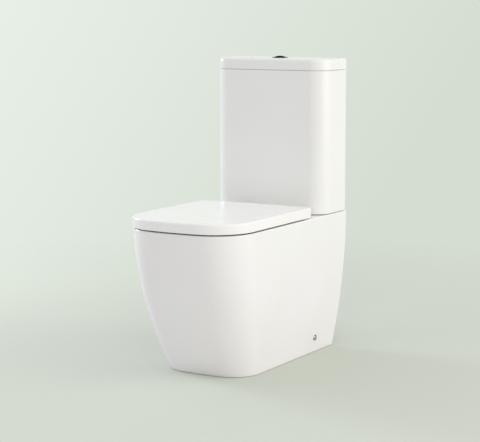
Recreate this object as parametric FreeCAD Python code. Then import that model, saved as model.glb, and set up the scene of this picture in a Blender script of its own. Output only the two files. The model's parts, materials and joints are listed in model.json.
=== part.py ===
import FreeCAD, Part
import math
import os

# A close-coupled floor-standing toilet whose china stands back to the wall.
# Millimetres, +Z up. The floor is z = 0 and the front is towards -Y.
# The origin is on the floor, half way from the wall to the front of the seat lid.

# Whole object
OVERALL_LENGTH = 652.0  # wall to the front of the seat lid
BODY_WIDTH = 355.0  # pan at its rim, and cistern lid
RIM_HEIGHT = 400.0  # china rim and deck above the floor
WALL_Y = OVERALL_LENGTH / 2
CUT_OVERRUN = 5.0  # how far a cutting shape runs past the face that it cuts
RUNNING_GAP = 0.3  # beside a piece that moves or is soft
PIN_GAP = 0.08  # round a hinge pin in its bore
THREAD_GAP = 0.15  # round a screw, bolt or shank in its hole or nut

# Pan
RIM_SETBACK = 4.0  # front of the rim behind the front of the seat lid
PAN_FRONT_RAKE = 139.0  # how far the foot stands back from the rim at the front
PAN_SIDE_RAKE = 43.5  # how far the foot stands in from the rim on each side
PAN_RAKE_LINEAR_SHARE = 0.37
PAN_CROWN_RADIUS = 700.0
RIM_CORNER_RADIUS = 115.0
FOOT_CORNER_RADIUS = 80.0
RIM_EDGE_RADIUS = 4.0
PAN_WALL = 11.0
DECK_THICKNESS = 18.0
PAN_LEVEL_SHARES = (1.0, 0.78, 0.56, 0.34, 0.15, 0.0)

# Bowl inside the pan
RIM_SIDE_WIDTH = 49.5  # outside of the pan to the bowl, at the rim
RIM_FRONT_WIDTH = 52.0
BOWL_REAR_FROM_WALL = 270.0
BOWL_DEPTH = 330.0  # rim to the floor of the sump
BOWL_WALL = 10.0
BOWL_SPLIT_DROP = 150.0  # rim to the joint between bowl and sump
SUMP_SHARE = 0.362  # of the way from the bowl's rear to its front
BOWL_CORNER_SHARE = 0.75  # corner radius over half width
BOWL_CROWN_SHARE = 3.6  # crown radius over half width
# Depth of each level, its half width, and how far its front and rear have drawn in to the sump.
BOWL_LEVEL_SHARES = (
    (0.0, 1.04, -0.02, -0.04),
    (0.03, 1.0, 0.0, 0.0),
    (0.24, 0.95, 0.05, 0.09),
    (0.50, 0.77, 0.24, 0.30),
    (0.75, 0.50, 0.56, 0.46),
    (0.92, 0.36, 0.76, 0.56),
    (1.0, 0.24, 0.86, 0.68),
)

# Trapway and outlet
TRAP_BORE_RADIUS = 40.0
TRAP_WALL = 9.0
TRAP_BEND_RADIUS = 52.0
TRAP_RISE_FROM_WALL = 300.0
TRAP_PEAK_FROM_WALL = 232.0
TRAP_PEAK_DROP = 96.0  # below the rim, as its straight runs would meet
TRAPWAY_SPLIT_FROM_WALL = TRAP_PEAK_FROM_WALL
TRAP_DROP_FROM_WALL = 154.0
OUTLET_HEIGHT = 185.0
OUTLET_RADIUS = 51.0
OUTLET_END_FROM_WALL = 70.0
OUTLET_SPIGOT_LENGTH = 55.0

# Flush inlet: well in the deck, and the duct to the bowl
WELL_RADIUS = 49.0
WELL_DEPTH = 28.0
WELL_WALL = 11.0
WELL_FLOOR = 12.0
DUCT_BORE_RADIUS = 22.0
DUCT_WALL = 8.0
DUCT_BEND_RADIUS = 36.0
DUCT_DROP = 70.0  # its level run below the rim
DUCT_END_FROM_WALL = 300.0
DUCT_SPLIT_FROM_WALL = 235.0

# Side fixing near the floor
FIXING_FROM_WALL = 125.0
FIXING_HEIGHT = 38.0
FIXING_HOLE_RADIUS = 6.0
FIXING_SLEEVE_WALL = 2.7
FIXING_SCREW_RADIUS = 2.8
FIXING_SCREW_LENGTH = 30.0
FIXING_HEAD_RADIUS = 5.0
FIXING_HEAD_HEIGHT = 3.0
FIXING_HEAD_DEPTH = 1.2  # top of the head below the skirt's face
FIXING_SLOT_WIDTH = 1.2
CAP_RADIUS = 8.6
CAP_HEIGHT = 3.2
CAP_EDGE_RADIUS = 2.2
CAP_STEM_WALL = 0.5
CAP_STEM_LENGTH = 3.4
BRACKET_HEIGHT = 66.0
BRACKET_WIDTH = 60.0
BRACKET_BASE = 46.0
BRACKET_THICKNESS = 6.0
BRACKET_GAP = 0.8
BRACKET_BOSS_RADIUS = 8.0
BRACKET_BOSS_LENGTH = 10.0
BRACKET_HOLE_RADIUS = 4.0
BRACKET_RIB = 4.0

# Cistern
CISTERN_SIDE_INSET = 0.4  # the tank stands this far inside the lid
CISTERN_DEPTH = 148.7
CISTERN_CROWN_RADIUS = 6000.0
CISTERN_CORNER_RADIUS = 50.0
CISTERN_REAR_RADIUS = 8.0
CISTERN_WALL = 10.0
CISTERN_FLOOR = 14.0
CISTERN_FOOT_RADIUS = 3.0
CISTERN_FLOOR_RADIUS = 9.0
CISTERN_TOP_HEIGHT = 806.7
JOINT_LINE_RADIUS = 1.0
PAD_THICKNESS = 1.2
PAD_RADIUS = 9.0
PAD_SIDE_INSET = 31.5
PAD_REAR_FROM_WALL = 26.0
PAD_FRONT_FROM_WALL = 118.0
LID_HEIGHT = 29.8
LID_TOP_RADIUS = 5.0
LID_WALL = 9.5
LID_LIP_GAP = 1.4
LID_LIP_WALL = 4.0
LID_LIP_DROP = 8.0

# Push button
BUTTON_HOLE_RADIUS = 22.5
BEZEL_RADIUS = 25.0
BEZEL_EDGE = 0.9
BEZEL_RISE = 3.2
BEZEL_SHOULDER_SHARE = 0.6
HOUSING_RADIUS = 22.0
HOUSING_WALL = 2.2
HOUSING_DROP = 33.0  # below the lid's top
HOUSING_FLOOR = 3.0
RING_NUT_RADIUS = 29.0
RING_NUT_HEIGHT = 8.0
RING_NUT_FLUTE_RADIUS = 2.4
RING_NUT_FLUTES = 8
BUTTON_DOME_RISE = 4.8  # above the bezel's inner edge
BUTTON_THICKNESS = 6.5
BUTTON_SPLIT_X = 3.0
BUTTON_SPLIT_GAP = 0.6
BUTTON_TRAVEL = 8.0
ROD_HALF_SPACING = 11.0
ROD_RADIUS = 2.2
SPRING_WIRE_RADIUS = 0.45
SPRING_RADIUS = 4.2
SPRING_TURNS = 4
SPRING_RUNS = 12  # short straight runs in each turn of the wire
SPRING_SEAT_GAP = 0.15

# Flush valve
VALVE_SHANK_RADIUS = 29.8
VALVE_BORE_RADIUS = 24.0
VALVE_SHANK_END_DROP = 22.5  # below the tank's underside
VALVE_HOLE_GAP = 2.2
VALVE_FLANGE_RADIUS = 42.0
VALVE_FLANGE_HEIGHT = 5.0
VALVE_WASHER_HEIGHT = 3.0
VALVE_SEAT_HEIGHT = 9.0
VALVE_SEAT_WALL = 3.0
BACKNUT_RADIUS = 43.0  # over the corners
BACKNUT_HEIGHT = 11.0
GASKET_RADIUS = 47.0
TOWER_RADIUS = 38.0
TOWER_WALL = 3.0
TOWER_TOP_DROP = 107.5  # below the rim of the tank
TOWER_CAP = 6.0
TOWER_WINDOWS = 4
TOWER_WINDOW_WIDTH = 30.0
TOWER_WINDOW_SHARE = 0.225  # of the tower, as the height of a lower window
TOWER_UPPER_WINDOW_SHARE = 0.305
TOWER_WINDOW_GAP = 14.0
TOWER_GUIDE_HEIGHT = 5.0
SEAL_RADIUS = 30.0
SEAL_HEIGHT = 3.0
SEAL_HOLE_RADIUS = 14.0
LIFT_PLATE = 3.0
OVERFLOW_RADIUS = 13.0
OVERFLOW_WALL = 2.0
OVERFLOW_TOP_GAP = 4.0  # under the pressed plungers, when lifted
FLUSH_LIFT = 16.0
PLUNGER_RADIUS = 3.6
PLUNGER_HEAD_RADIUS = 6.0
PLUNGER_HEAD_HEIGHT = 4.0
PLUNGER_DROP = 18.0  # stem below the tower's cap
PLUNGER_SPARE = 2.0  # left above the cap when pressed

# Coupling between tank and pan
BOLT_RADIUS = 4.0
BOLT_HOLE_RADIUS = 6.5
BOLT_HEAD_RADIUS = 7.5
BOLT_HEAD_HEIGHT = 5.3
BOLT_SPARE = 8.0  # bolt end below the wing nut
RUBBER_WASHER_RADIUS = 11.0
RUBBER_WASHER_HEIGHT = 4.0
STEEL_WASHER_RADIUS = 10.5
STEEL_WASHER_HEIGHT = 1.6
WING_HUB_RADIUS = 6.5
WING_HUB_HEIGHT = 8.0
WING_SPAN = 15.0
WING_THICKNESS = 2.6
WING_HEIGHT = 11.0

# Water inlet: fill valve on the left, blanking plug on the right
INLET_SIDE_INSET = 44.0
INLET_DECK_HOLE_RADIUS = 20.0
INLET_TANK_HOLE_RADIUS = 11.5
INLET_SHANK_RADIUS = 11.0
INLET_BORE_RADIUS = 5.0
INLET_SHANK_DROP = 52.0  # below the tank's underside
INLET_THREAD_RADIUS = 10.4
INLET_THREAD_LENGTH = 25.0  # for the supply hose
INLET_FLANGE_RADIUS = 19.0
INLET_FLANGE_HEIGHT = 5.0
INLET_WASHER_HEIGHT = 3.0
INLET_NUT_RADIUS = 17.0
INLET_NUT_HEIGHT = 8.2
PLUG_STEM_DROP = 12.0
RISER_RADIUS = 13.0
RISER_WALL = 2.5
RISER_TOP_DROP = 117.5  # below the rim of the tank
FLOAT_STOP_RADIUS = 18.0
FLOAT_STOP_HEIGHT = 5.0
FLOAT_TOP_GAP = 11.0  # under the valve head, when the tank is full
FLOAT_RADIUS = 30.0
FLOAT_BORE_GAP = 1.2
FLOAT_HEIGHT = 70.0
FLOAT_WALL = 2.0
FLOAT_TRAVEL = 20.0
HEAD_RADIUS = 22.0
HEAD_HEIGHT = 34.0
HEAD_EDGE_RADIUS = 3.0
HEAD_SPOUT_RADIUS = 6.0
HEAD_SPOUT_LENGTH = 14.0
LINK_RADIUS = 1.6
LINK_FROM_RISER = 26.0
LINK_COLLAR_RADIUS = 3.4
LINK_COLLAR_HEIGHT = 2.0
LINK_COLLAR_GAP = 4.2  # from the lever's mid plane
LEVER_LENGTH = 45.0  # pivot to link
LEVER_WIDTH = 9.0
LEVER_THICKNESS = 3.0
LEVER_SLOT_BACK = 3.0
LEVER_SLOT_FRONT = 9.0
LEVER_SLOT_WIDTH = 4.6
LEVER_END = 4.0
LEVER_HUB_RADIUS = 4.0
LEVER_PIVOT_RISE = 7.0  # above the head
LEVER_PIN_RADIUS = 1.5
LEVER_EAR_WIDTH = 3.0
LEVER_EAR_RADIUS = 4.0

# Seat: hinge axis
HINGE_FROM_WALL = 218.0
HINGE_HEIGHT = 18.5  # above the deck
HINGE_PIN_RADIUS = 3.0
HINGE_BARREL_RADIUS = 7.0
HINGE_KNUCKLE_RADIUS = 7.5
HINGE_POST_SPACING = 155.0
HINGE_BARREL_LENGTH = 20.0
HINGE_END_GAP = 0.6
RING_KNUCKLE_LENGTH = 18.0
LID_KNUCKLE_LENGTH = 17.0
POST_FOOT_RADIUS = 8.5
POST_FORWARD = 3.0  # stud ahead of the hinge axis
DAMPER_RADIUS = 5.0
DAMPER_LENGTH = 14.0
DAMPER_PIN_DEPTH = 11.0
STUD_RADIUS = 3.0
STUD_RISE = 12.0
STUD_SPARE = 14.0
SEAT_HOLE_RADIUS = 7.0
SLEEVE_DROP = 15.0
SEAT_WASHER_RADIUS = 12.0
SEAT_WASHER_HEIGHT = 3.0
SEAT_NUT_RADIUS = 8.0
SEAT_NUT_HEIGHT = 10.0

# Seat lid and ring
SEAT_SIDE_INSET = 0.5  # inside the pan's rim on each side
SEAT_REAR_FROM_WALL = 205.0
SEAT_LID_BOTTOM = 5.5  # above the rim
SEAT_LID_HEIGHT = 25.9
SEAT_LID_TOP_RADIUS = 7.0
SEAT_LID_PLATE = 5.0
SEAT_LID_WALL = 4.5
SEAT_LID_REAR_WALL = 4.0
SEAT_LID_REAR_RADIUS = 14.0
SEAT_LID_HEEL_RADIUS = 6.0
SEAT_CROWN_RADIUS = 700.0
NOTCH_GAP = 1.5
RING_INSET = 7.0  # inside the lid's outline
RING_BOTTOM = 4.5  # above the rim
RING_HEIGHT = 20.0
RING_REAR_GAP = 20.0  # hinge axis to the back edge of the ring
RING_REAR_RADIUS = 34.0
RING_PLATE = 4.5
RING_WALL = 4.0
RING_EDGE_RADIUS = 6.0
RING_SIDE_WIDTH = 67.5  # outside of the pan to the hole
RING_FRONT_WIDTH = 74.0  # front of the lid to the hole
RING_HOLE_REAR = 290.0
RING_HOLE_FRONT_SHARE = 0.836  # corner radius over half width
RING_HOLE_REAR_SHARE = 0.727
RING_HOLE_CROWN_SHARE = 2.36
ARM_HEIGHT = 13.0
ARM_DROP = 1.5  # below the ring's top
ARM_REACH = 34.0  # hinge axis to where the arm runs into the ring
RING_BUMPER_LENGTH = 30.0
RING_BUMPER_WIDTH = 12.0
RING_BUMPER_STEM_RADIUS = 2.5
RING_BUMPER_STEM = 6.0
RING_BUMPER_SIDE_INSETS = (27.5, 41.5)  # rear and front pads
RING_BUMPER_AHEAD_OF_HINGE = 117.0
RING_BUMPER_FROM_FRONT = 116.0
LID_BUMPER_RADIUS = 6.0
LID_BUMPER_SIDE_INSETS = (36.5, 82.5)  # rear and front pads
LID_BUMPER_AHEAD_OF_HINGE = 82.0
LID_BUMPER_FROM_FRONT = 40.0

UP = FreeCAD.Vector(0, 0, 1)
RIGHT = FreeCAD.Vector(1, 0, 0)
BACK = FreeCAD.Vector(0, 1, 0)
SIDES = (-1, 1)

# Heights and places worked out from the sizes above
PAN_LENGTH = OVERALL_LENGTH - RIM_SETBACK  # wall to the front of the rim
BOWL_HALF_WIDTH = BODY_WIDTH / 2 - RIM_SIDE_WIDTH
BOWL_FRONT = PAN_LENGTH - RIM_FRONT_WIDTH
SUMP_FROM_WALL = BOWL_REAR_FROM_WALL + (BOWL_FRONT - BOWL_REAR_FROM_WALL) * SUMP_SHARE
TRAP_DIP_HEIGHT = RIM_HEIGHT - BOWL_DEPTH + TRAP_BORE_RADIUS
TRAP_PEAK_HEIGHT = RIM_HEIGHT - TRAP_PEAK_DROP
DUCT_HEIGHT = RIM_HEIGHT - DUCT_DROP
CISTERN_CENTRE = CISTERN_DEPTH / 2  # from the wall
PAD_HALF_SPACING = BODY_WIDTH / 2 - PAD_SIDE_INSET
INLET_HALF_SPACING = BODY_WIDTH / 2 - INLET_SIDE_INSET
BOLT_HALF_SPACING = (WELL_RADIUS + WELL_WALL + INLET_HALF_SPACING - INLET_DECK_HOLE_RADIUS) / 2
RING_HOLE_HALF_WIDTH = BODY_WIDTH / 2 - RING_SIDE_WIDTH
RING_HOLE_FRONT = OVERALL_LENGTH - RING_FRONT_WIDTH
TANK_BOTTOM = RIM_HEIGHT + PAD_THICKNESS
TANK_FLOOR = TANK_BOTTOM + CISTERN_FLOOR
LID_TOP = CISTERN_TOP_HEIGHT + LID_HEIGHT
LID_CEILING = LID_TOP - LID_WALL
DECK_UNDERSIDE = RIM_HEIGHT - DECK_THICKNESS
BOWL_SPLIT_HEIGHT = RIM_HEIGHT - BOWL_SPLIT_DROP
WELL_BOTTOM = RIM_HEIGHT - WELL_DEPTH
HINGE_Z = RIM_HEIGHT + HINGE_HEIGHT
SEAT_LID_BASE = RIM_HEIGHT + SEAT_LID_BOTTOM
SEAT_LID_TOP = SEAT_LID_BASE + SEAT_LID_HEIGHT
RING_BASE = RIM_HEIGHT + RING_BOTTOM
RING_TOP = RING_BASE + RING_HEIGHT
VALVE_FLANGE_TOP = TANK_FLOOR + VALVE_WASHER_HEIGHT + VALVE_FLANGE_HEIGHT
VALVE_SEAT_TOP = VALVE_FLANGE_TOP + VALVE_SEAT_HEIGHT
SEAL_TOP = VALVE_SEAT_TOP + SEAL_HEIGHT
TOWER_TOP = CISTERN_TOP_HEIGHT - TOWER_TOP_DROP
TOWER_HEIGHT = TOWER_TOP - VALVE_FLANGE_TOP
PLUNGER_LOW = TOWER_TOP - TOWER_CAP - PLUNGER_DROP
OVERFLOW_TOP = PLUNGER_LOW - BUTTON_TRAVEL - FLUSH_LIFT - OVERFLOW_TOP_GAP
PLUNGER_TOP = TOWER_TOP + PLUNGER_SPARE + BUTTON_TRAVEL + PLUNGER_HEAD_HEIGHT
INLET_FLANGE_TOP = TANK_FLOOR + INLET_WASHER_HEIGHT + INLET_FLANGE_HEIGHT
RISER_TOP = CISTERN_TOP_HEIGHT - RISER_TOP_DROP
HEAD_TOP = RISER_TOP + HEAD_HEIGHT
LEVER_Z = HEAD_TOP + LEVER_PIVOT_RISE
FLOAT_BASE = RISER_TOP - FLOAT_TOP_GAP - FLOAT_TRAVEL - FLOAT_HEIGHT
HOUSING_BOTTOM = LID_TOP - HOUSING_DROP
BUTTON_RADIUS = HOUSING_RADIUS - HOUSING_WALL - RUNNING_GAP
BUTTON_BASE = LID_TOP + BEZEL_RISE - BUTTON_THICKNESS
POST_FROM_WALL = HINGE_FROM_WALL + POST_FORWARD
POST_X = HINGE_POST_SPACING / 2
INNER_KNUCKLE_X = POST_X - HINGE_BARREL_LENGTH / 2 - HINGE_END_GAP
OUTER_KNUCKLE_X = POST_X + HINGE_BARREL_LENGTH / 2 + HINGE_END_GAP


def point(x, from_wall, z):
    """A point given by its distance from the wall."""
    return FreeCAD.Vector(x, WALL_Y - from_wall, z)


def line(start, end):
    return Part.LineSegment(start, end).toShape()


def arc(start, middle, end):
    return Part.Arc(start, middle, end).toShape()


def joined(solids):
    """Several solids fused, with the seams between flush faces removed."""
    return solids[0].fuse(solids[1:]).removeSplitter()


def group(solids):
    """Like pieces that share one node and stay separate solids."""
    return Part.makeCompound(solids)


def rod(radius, x, from_wall, low, high):
    """An upright cylinder between two heights."""
    return Part.makeCylinder(radius, high - low, point(x, from_wall, low), UP)


def pipe(outer, bore, x, from_wall, low, high):
    """An upright tube between two heights."""
    core = rod(bore, x, from_wall, low - CUT_OVERRUN, high + CUT_OVERRUN)
    return rod(outer, x, from_wall, low, high).cut(core)


def axle(radius, start_x, end_x, from_wall, z):
    """A cylinder along X."""
    return Part.makeCylinder(radius, end_x - start_x, point(start_x, from_wall, z), RIGHT)


def block(x_low, x_high, wall_near, wall_far, low, high):
    """A box between two distances from the wall."""
    corner = point(x_low, wall_far, low)
    return Part.makeBox(x_high - x_low, wall_far - wall_near, high - low, corner)


def hexagon(corner_radius, x, from_wall, low, high):
    """An upright six-sided prism."""
    centre = point(x, from_wall, low)
    corners = []
    for side in range(7):
        angle = math.radians(side * 60)
        corners.append(centre + FreeCAD.Vector(math.cos(angle), math.sin(angle), 0) * corner_radius)
    return Part.Face(Part.makePolygon(corners)).extrude(UP * (high - low))


def outline(half_width, front, rear, crown, corner, z, rear_corner=0):
    """Closed outline seen from above: crowned front, round front corners, straight sides and back."""
    corner_x = half_width - corner
    crown_centre = point(0, front - crown, z)
    reach = math.sqrt((crown - corner) ** 2 - corner_x ** 2)
    corner_centre = crown_centre + FreeCAD.Vector(corner_x, -reach, 0)
    lean = math.atan2(reach, corner_x)
    half_lean = lean / 2
    side = corner_centre + RIGHT * corner
    middle = corner_centre + FreeCAD.Vector(math.cos(half_lean), -math.sin(half_lean), 0) * corner
    tip = corner_centre + FreeCAD.Vector(math.cos(lean), -math.sin(lean), 0) * corner
    nose = point(0, front, z)
    edges = []

    def mirrored(spot):
        return FreeCAD.Vector(-spot.x, spot.y, spot.z)

    back_side = point(half_width, rear + rear_corner, z)
    back_end = point(half_width - rear_corner, rear, z)
    if rear_corner:
        shoulder = point(half_width - rear_corner, rear + rear_corner, z)
        turn = math.radians(45)
        back_middle = shoulder + FreeCAD.Vector(math.cos(turn), math.sin(turn), 0) * rear_corner
        edges.append(arc(back_end, back_middle, back_side))
    edges.append(line(back_side, side))
    edges.append(arc(side, middle, tip))
    edges.append(arc(tip, nose, mirrored(tip)))
    edges.append(arc(mirrored(tip), mirrored(middle), mirrored(side)))
    edges.append(line(mirrored(side), mirrored(back_side)))
    if rear_corner:
        edges.append(arc(mirrored(back_side), mirrored(back_middle), mirrored(back_end)))
    edges.append(line(mirrored(back_end), back_end))
    return Part.Wire(edges)


def prism(wire, high):
    """A solid from an outline up to a height."""
    low = wire.BoundBox.ZMin
    return Part.Face(wire).extrude(UP * (high - low))


def rounded_path(stops, radius):
    """A wire of straight runs through the stops, joined by tangent arcs of one radius."""
    edges = []
    start = stops[0]
    for before, corner, after in zip(stops, stops[1:], stops[2:]):
        back = (before - corner).normalize()
        ahead = (after - corner).normalize()
        half_angle = back.getAngle(ahead) / 2
        setback = radius / math.tan(half_angle)
        centre = corner + (back + ahead).normalize() * (radius / math.sin(half_angle))
        middle = centre + (corner - centre).normalize() * radius
        edges.append(line(start, corner + back * setback))
        edges.append(arc(corner + back * setback, middle, corner + ahead * setback))
        start = corner + ahead * setback
    edges.append(line(start, stops[-1]))
    return Part.Wire(edges)


def swept(path, radius):
    """A round bar along a path."""
    start = path.Edges[0].Vertexes[0].Point
    heading = path.Edges[0].tangentAt(path.Edges[0].FirstParameter)
    ring = Part.Wire(Part.makeCircle(radius, start, heading))
    return path.makePipeShell([ring], True, False)


def edges_at(solid, height, from_wall_min):
    """The edges of a solid that lie at one height, ahead of a distance from the wall."""
    found = []
    for edge in solid.Edges:
        box = edge.BoundBox
        level = abs(box.ZMin - height) < PIN_GAP and abs(box.ZMax - height) < PIN_GAP
        if level and box.YMin < WALL_Y - from_wall_min:
            found.append(edge)
    return found


# Pan


def skirt_half_width(height):
    drop_share = 1 - height / RIM_HEIGHT
    return BODY_WIDTH / 2 - PAN_SIDE_RAKE * drop_share ** 2


def pan_outline(height, wall, rear):
    """Outline of the pan at a height, drawn in by a wall's thickness."""
    drop_share = 1 - height / RIM_HEIGHT
    rake_share = PAN_RAKE_LINEAR_SHARE * drop_share + (1 - PAN_RAKE_LINEAR_SHARE) * drop_share ** 2
    front = PAN_LENGTH - PAN_FRONT_RAKE * rake_share
    corner = RIM_CORNER_RADIUS + (FOOT_CORNER_RADIUS - RIM_CORNER_RADIUS) * drop_share
    half_width = skirt_half_width(height)
    return outline(half_width - wall, front - wall, rear, PAN_CROWN_RADIUS - wall, corner - wall, height)


def pan_skirt():
    """The outer china shell: closed deck on top, open behind and below."""
    levels = [RIM_HEIGHT * (1 - share) for share in PAN_LEVEL_SHARES]
    outer = Part.makeLoft([pan_outline(level, 0, 0) for level in levels], True)
    outer = outer.makeFillet(RIM_EDGE_RADIUS, edges_at(outer, RIM_HEIGHT, 0))
    ceiling = [-CUT_OVERRUN] + [DECK_UNDERSIDE * (1 - share) for share in PAN_LEVEL_SHARES[1:]]
    hollow = Part.makeLoft([pan_outline(level, PAN_WALL, -CUT_OVERRUN) for level in ceiling], True)
    return outer.cut(hollow)


def bowl_body(grow, top):
    """The bowl's form, grown outwards by a wall's thickness."""
    wires = []
    for depth, width, front, rear in BOWL_LEVEL_SHARES:
        half_width = BOWL_HALF_WIDTH * width + grow
        ahead = BOWL_FRONT - (BOWL_FRONT - SUMP_FROM_WALL) * front + grow
        behind = BOWL_REAR_FROM_WALL + (SUMP_FROM_WALL - BOWL_REAR_FROM_WALL) * rear - grow
        corner = BOWL_HALF_WIDTH * width * BOWL_CORNER_SHARE + grow
        crown = BOWL_HALF_WIDTH * width * BOWL_CROWN_SHARE + grow
        height = top - (top - RIM_HEIGHT + BOWL_DEPTH + grow) * depth
        wires.append(outline(half_width, ahead, behind, crown, corner, height, corner))
    return Part.makeLoft(wires, True)


def trap_path():
    stops = [
        point(0, SUMP_FROM_WALL, TRAP_DIP_HEIGHT),
        point(0, TRAP_RISE_FROM_WALL, TRAP_DIP_HEIGHT),
        point(0, TRAP_PEAK_FROM_WALL, TRAP_PEAK_HEIGHT),
        point(0, TRAP_DROP_FROM_WALL, OUTLET_HEIGHT),
        point(0, OUTLET_END_FROM_WALL, OUTLET_HEIGHT),
    ]
    return rounded_path(stops, TRAP_BEND_RADIUS)


def duct_path():
    stops = [
        point(0, CISTERN_CENTRE, WELL_BOTTOM),
        point(0, CISTERN_CENTRE, DUCT_HEIGHT),
        point(0, DUCT_END_FROM_WALL, DUCT_HEIGHT),
    ]
    return rounded_path(stops, DUCT_BEND_RADIUS)


def fixing_frame(side):
    """Where a side fixing meets the skirt's face, and the face's outward direction there."""
    slope = 2 * PAN_SIDE_RAKE * (1 - FIXING_HEIGHT / RIM_HEIGHT) / RIM_HEIGHT
    place = point(side * skirt_half_width(FIXING_HEIGHT), FIXING_FROM_WALL, FIXING_HEIGHT)
    return place, FreeCAD.Vector(side, 0, -slope).normalize()


def fixing_rod(side, radius, start, end):
    """A cylinder on a side fixing's axis, between two depths behind the skirt's face."""
    place, outward = fixing_frame(side)
    return Part.makeCylinder(radius, end - start, place - outward * start, outward * -1)


def slice_of(solid, wall_near, wall_far):
    """The part of a solid between two distances from the wall."""
    half_width = BODY_WIDTH / 2
    return solid.common(block(-half_width, half_width, wall_near, wall_far, -CUT_OVERRUN, RIM_HEIGHT))


def layer_of(solid, low, high):
    """The part of a solid between two heights."""
    half_width = BODY_WIDTH / 2
    return solid.common(block(-half_width, half_width, 0, PAN_LENGTH, low, high))


def make_pan():
    """The pan's skirt, open behind and below, with a hole on each side for its fixing."""
    skirt = layer_of(pan_skirt(), 0, DECK_UNDERSIDE)
    depth = PAN_WALL + CUT_OVERRUN
    return skirt.cut([fixing_rod(side, FIXING_HOLE_RADIUS, -CUT_OVERRUN, depth) for side in SIDES])


def make_pan_deck():
    """The pan's deck with the bowl's mouth, and the well under the cistern."""
    well_low = WELL_BOTTOM - WELL_FLOOR
    well = rod(WELL_RADIUS + WELL_WALL, 0, CISTERN_CENTRE, well_low, DECK_UNDERSIDE)
    china = layer_of(pan_skirt(), DECK_UNDERSIDE, RIM_HEIGHT).fuse(well)
    low = DECK_UNDERSIDE - CUT_OVERRUN
    high = RIM_HEIGHT + CUT_OVERRUN
    holes = [
        bowl_body(0, RIM_HEIGHT),
        rod(WELL_RADIUS, 0, CISTERN_CENTRE, WELL_BOTTOM, high),
        rod(DUCT_BORE_RADIUS, 0, CISTERN_CENTRE, well_low - CUT_OVERRUN, high),
    ]
    for side in SIDES:
        holes.append(rod(SEAT_HOLE_RADIUS, side * POST_X, POST_FROM_WALL, low, high))
        holes.append(rod(BOLT_HOLE_RADIUS, side * BOLT_HALF_SPACING, CISTERN_CENTRE, low, high))
        holes.append(rod(INLET_DECK_HOLE_RADIUS, side * INLET_HALF_SPACING, CISTERN_CENTRE, low, high))
    return china.cut(holes).removeSplitter()


def waterways():
    """Every hollow that water runs through below the deck."""
    trap = swept(trap_path(), TRAP_BORE_RADIUS)
    duct = swept(duct_path(), DUCT_BORE_RADIUS)
    return [bowl_body(0, RIM_HEIGHT), trap, duct]


def bowl_casting():
    """Bowl under the deck, with its sump, the rising leg of the trap and the end of the flush duct."""
    bowl = bowl_body(BOWL_WALL, DECK_UNDERSIDE)
    trap = swept(trap_path(), TRAP_BORE_RADIUS + TRAP_WALL)
    rising = slice_of(trap, TRAPWAY_SPLIT_FROM_WALL, SUMP_FROM_WALL)
    duct = swept(duct_path(), DUCT_BORE_RADIUS + DUCT_WALL)
    duct = slice_of(duct, DUCT_SPLIT_FROM_WALL, DUCT_END_FROM_WALL)
    return bowl.fuse([rising, duct]).cut(waterways()).removeSplitter()


def make_pan_bowl():
    """Rimless bowl down to the joint with its sump, and the crest of the trap behind it."""
    return layer_of(bowl_casting(), BOWL_SPLIT_HEIGHT, DECK_UNDERSIDE)


def make_pan_sump():
    """Sump of the bowl and the rising leg of the trap, up to the joint with the bowl."""
    return layer_of(bowl_casting(), 0, BOWL_SPLIT_HEIGHT)


def make_pan_trapway():
    """Falling leg of the trap, from its weir down to the outlet spigot."""
    outlet_start = point(0, OUTLET_END_FROM_WALL + OUTLET_SPIGOT_LENGTH, OUTLET_HEIGHT)
    spigot = Part.makeCylinder(OUTLET_RADIUS, OUTLET_SPIGOT_LENGTH, outlet_start, BACK)
    falling = slice_of(swept(trap_path(), TRAP_BORE_RADIUS + TRAP_WALL), 0, TRAPWAY_SPLIT_FROM_WALL)
    return falling.fuse(spigot).cut(swept(trap_path(), TRAP_BORE_RADIUS)).removeSplitter()


def make_pan_flush_duct():
    """Channel from the well's floor forward to the back of the bowl."""
    duct = slice_of(swept(duct_path(), DUCT_BORE_RADIUS + DUCT_WALL), 0, DUCT_SPLIT_FROM_WALL)
    above = block(-WELL_RADIUS, WELL_RADIUS, 0, DUCT_SPLIT_FROM_WALL, WELL_BOTTOM - WELL_FLOOR, RIM_HEIGHT)
    return duct.cut([above, swept(duct_path(), DUCT_BORE_RADIUS)]).removeSplitter()


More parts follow.
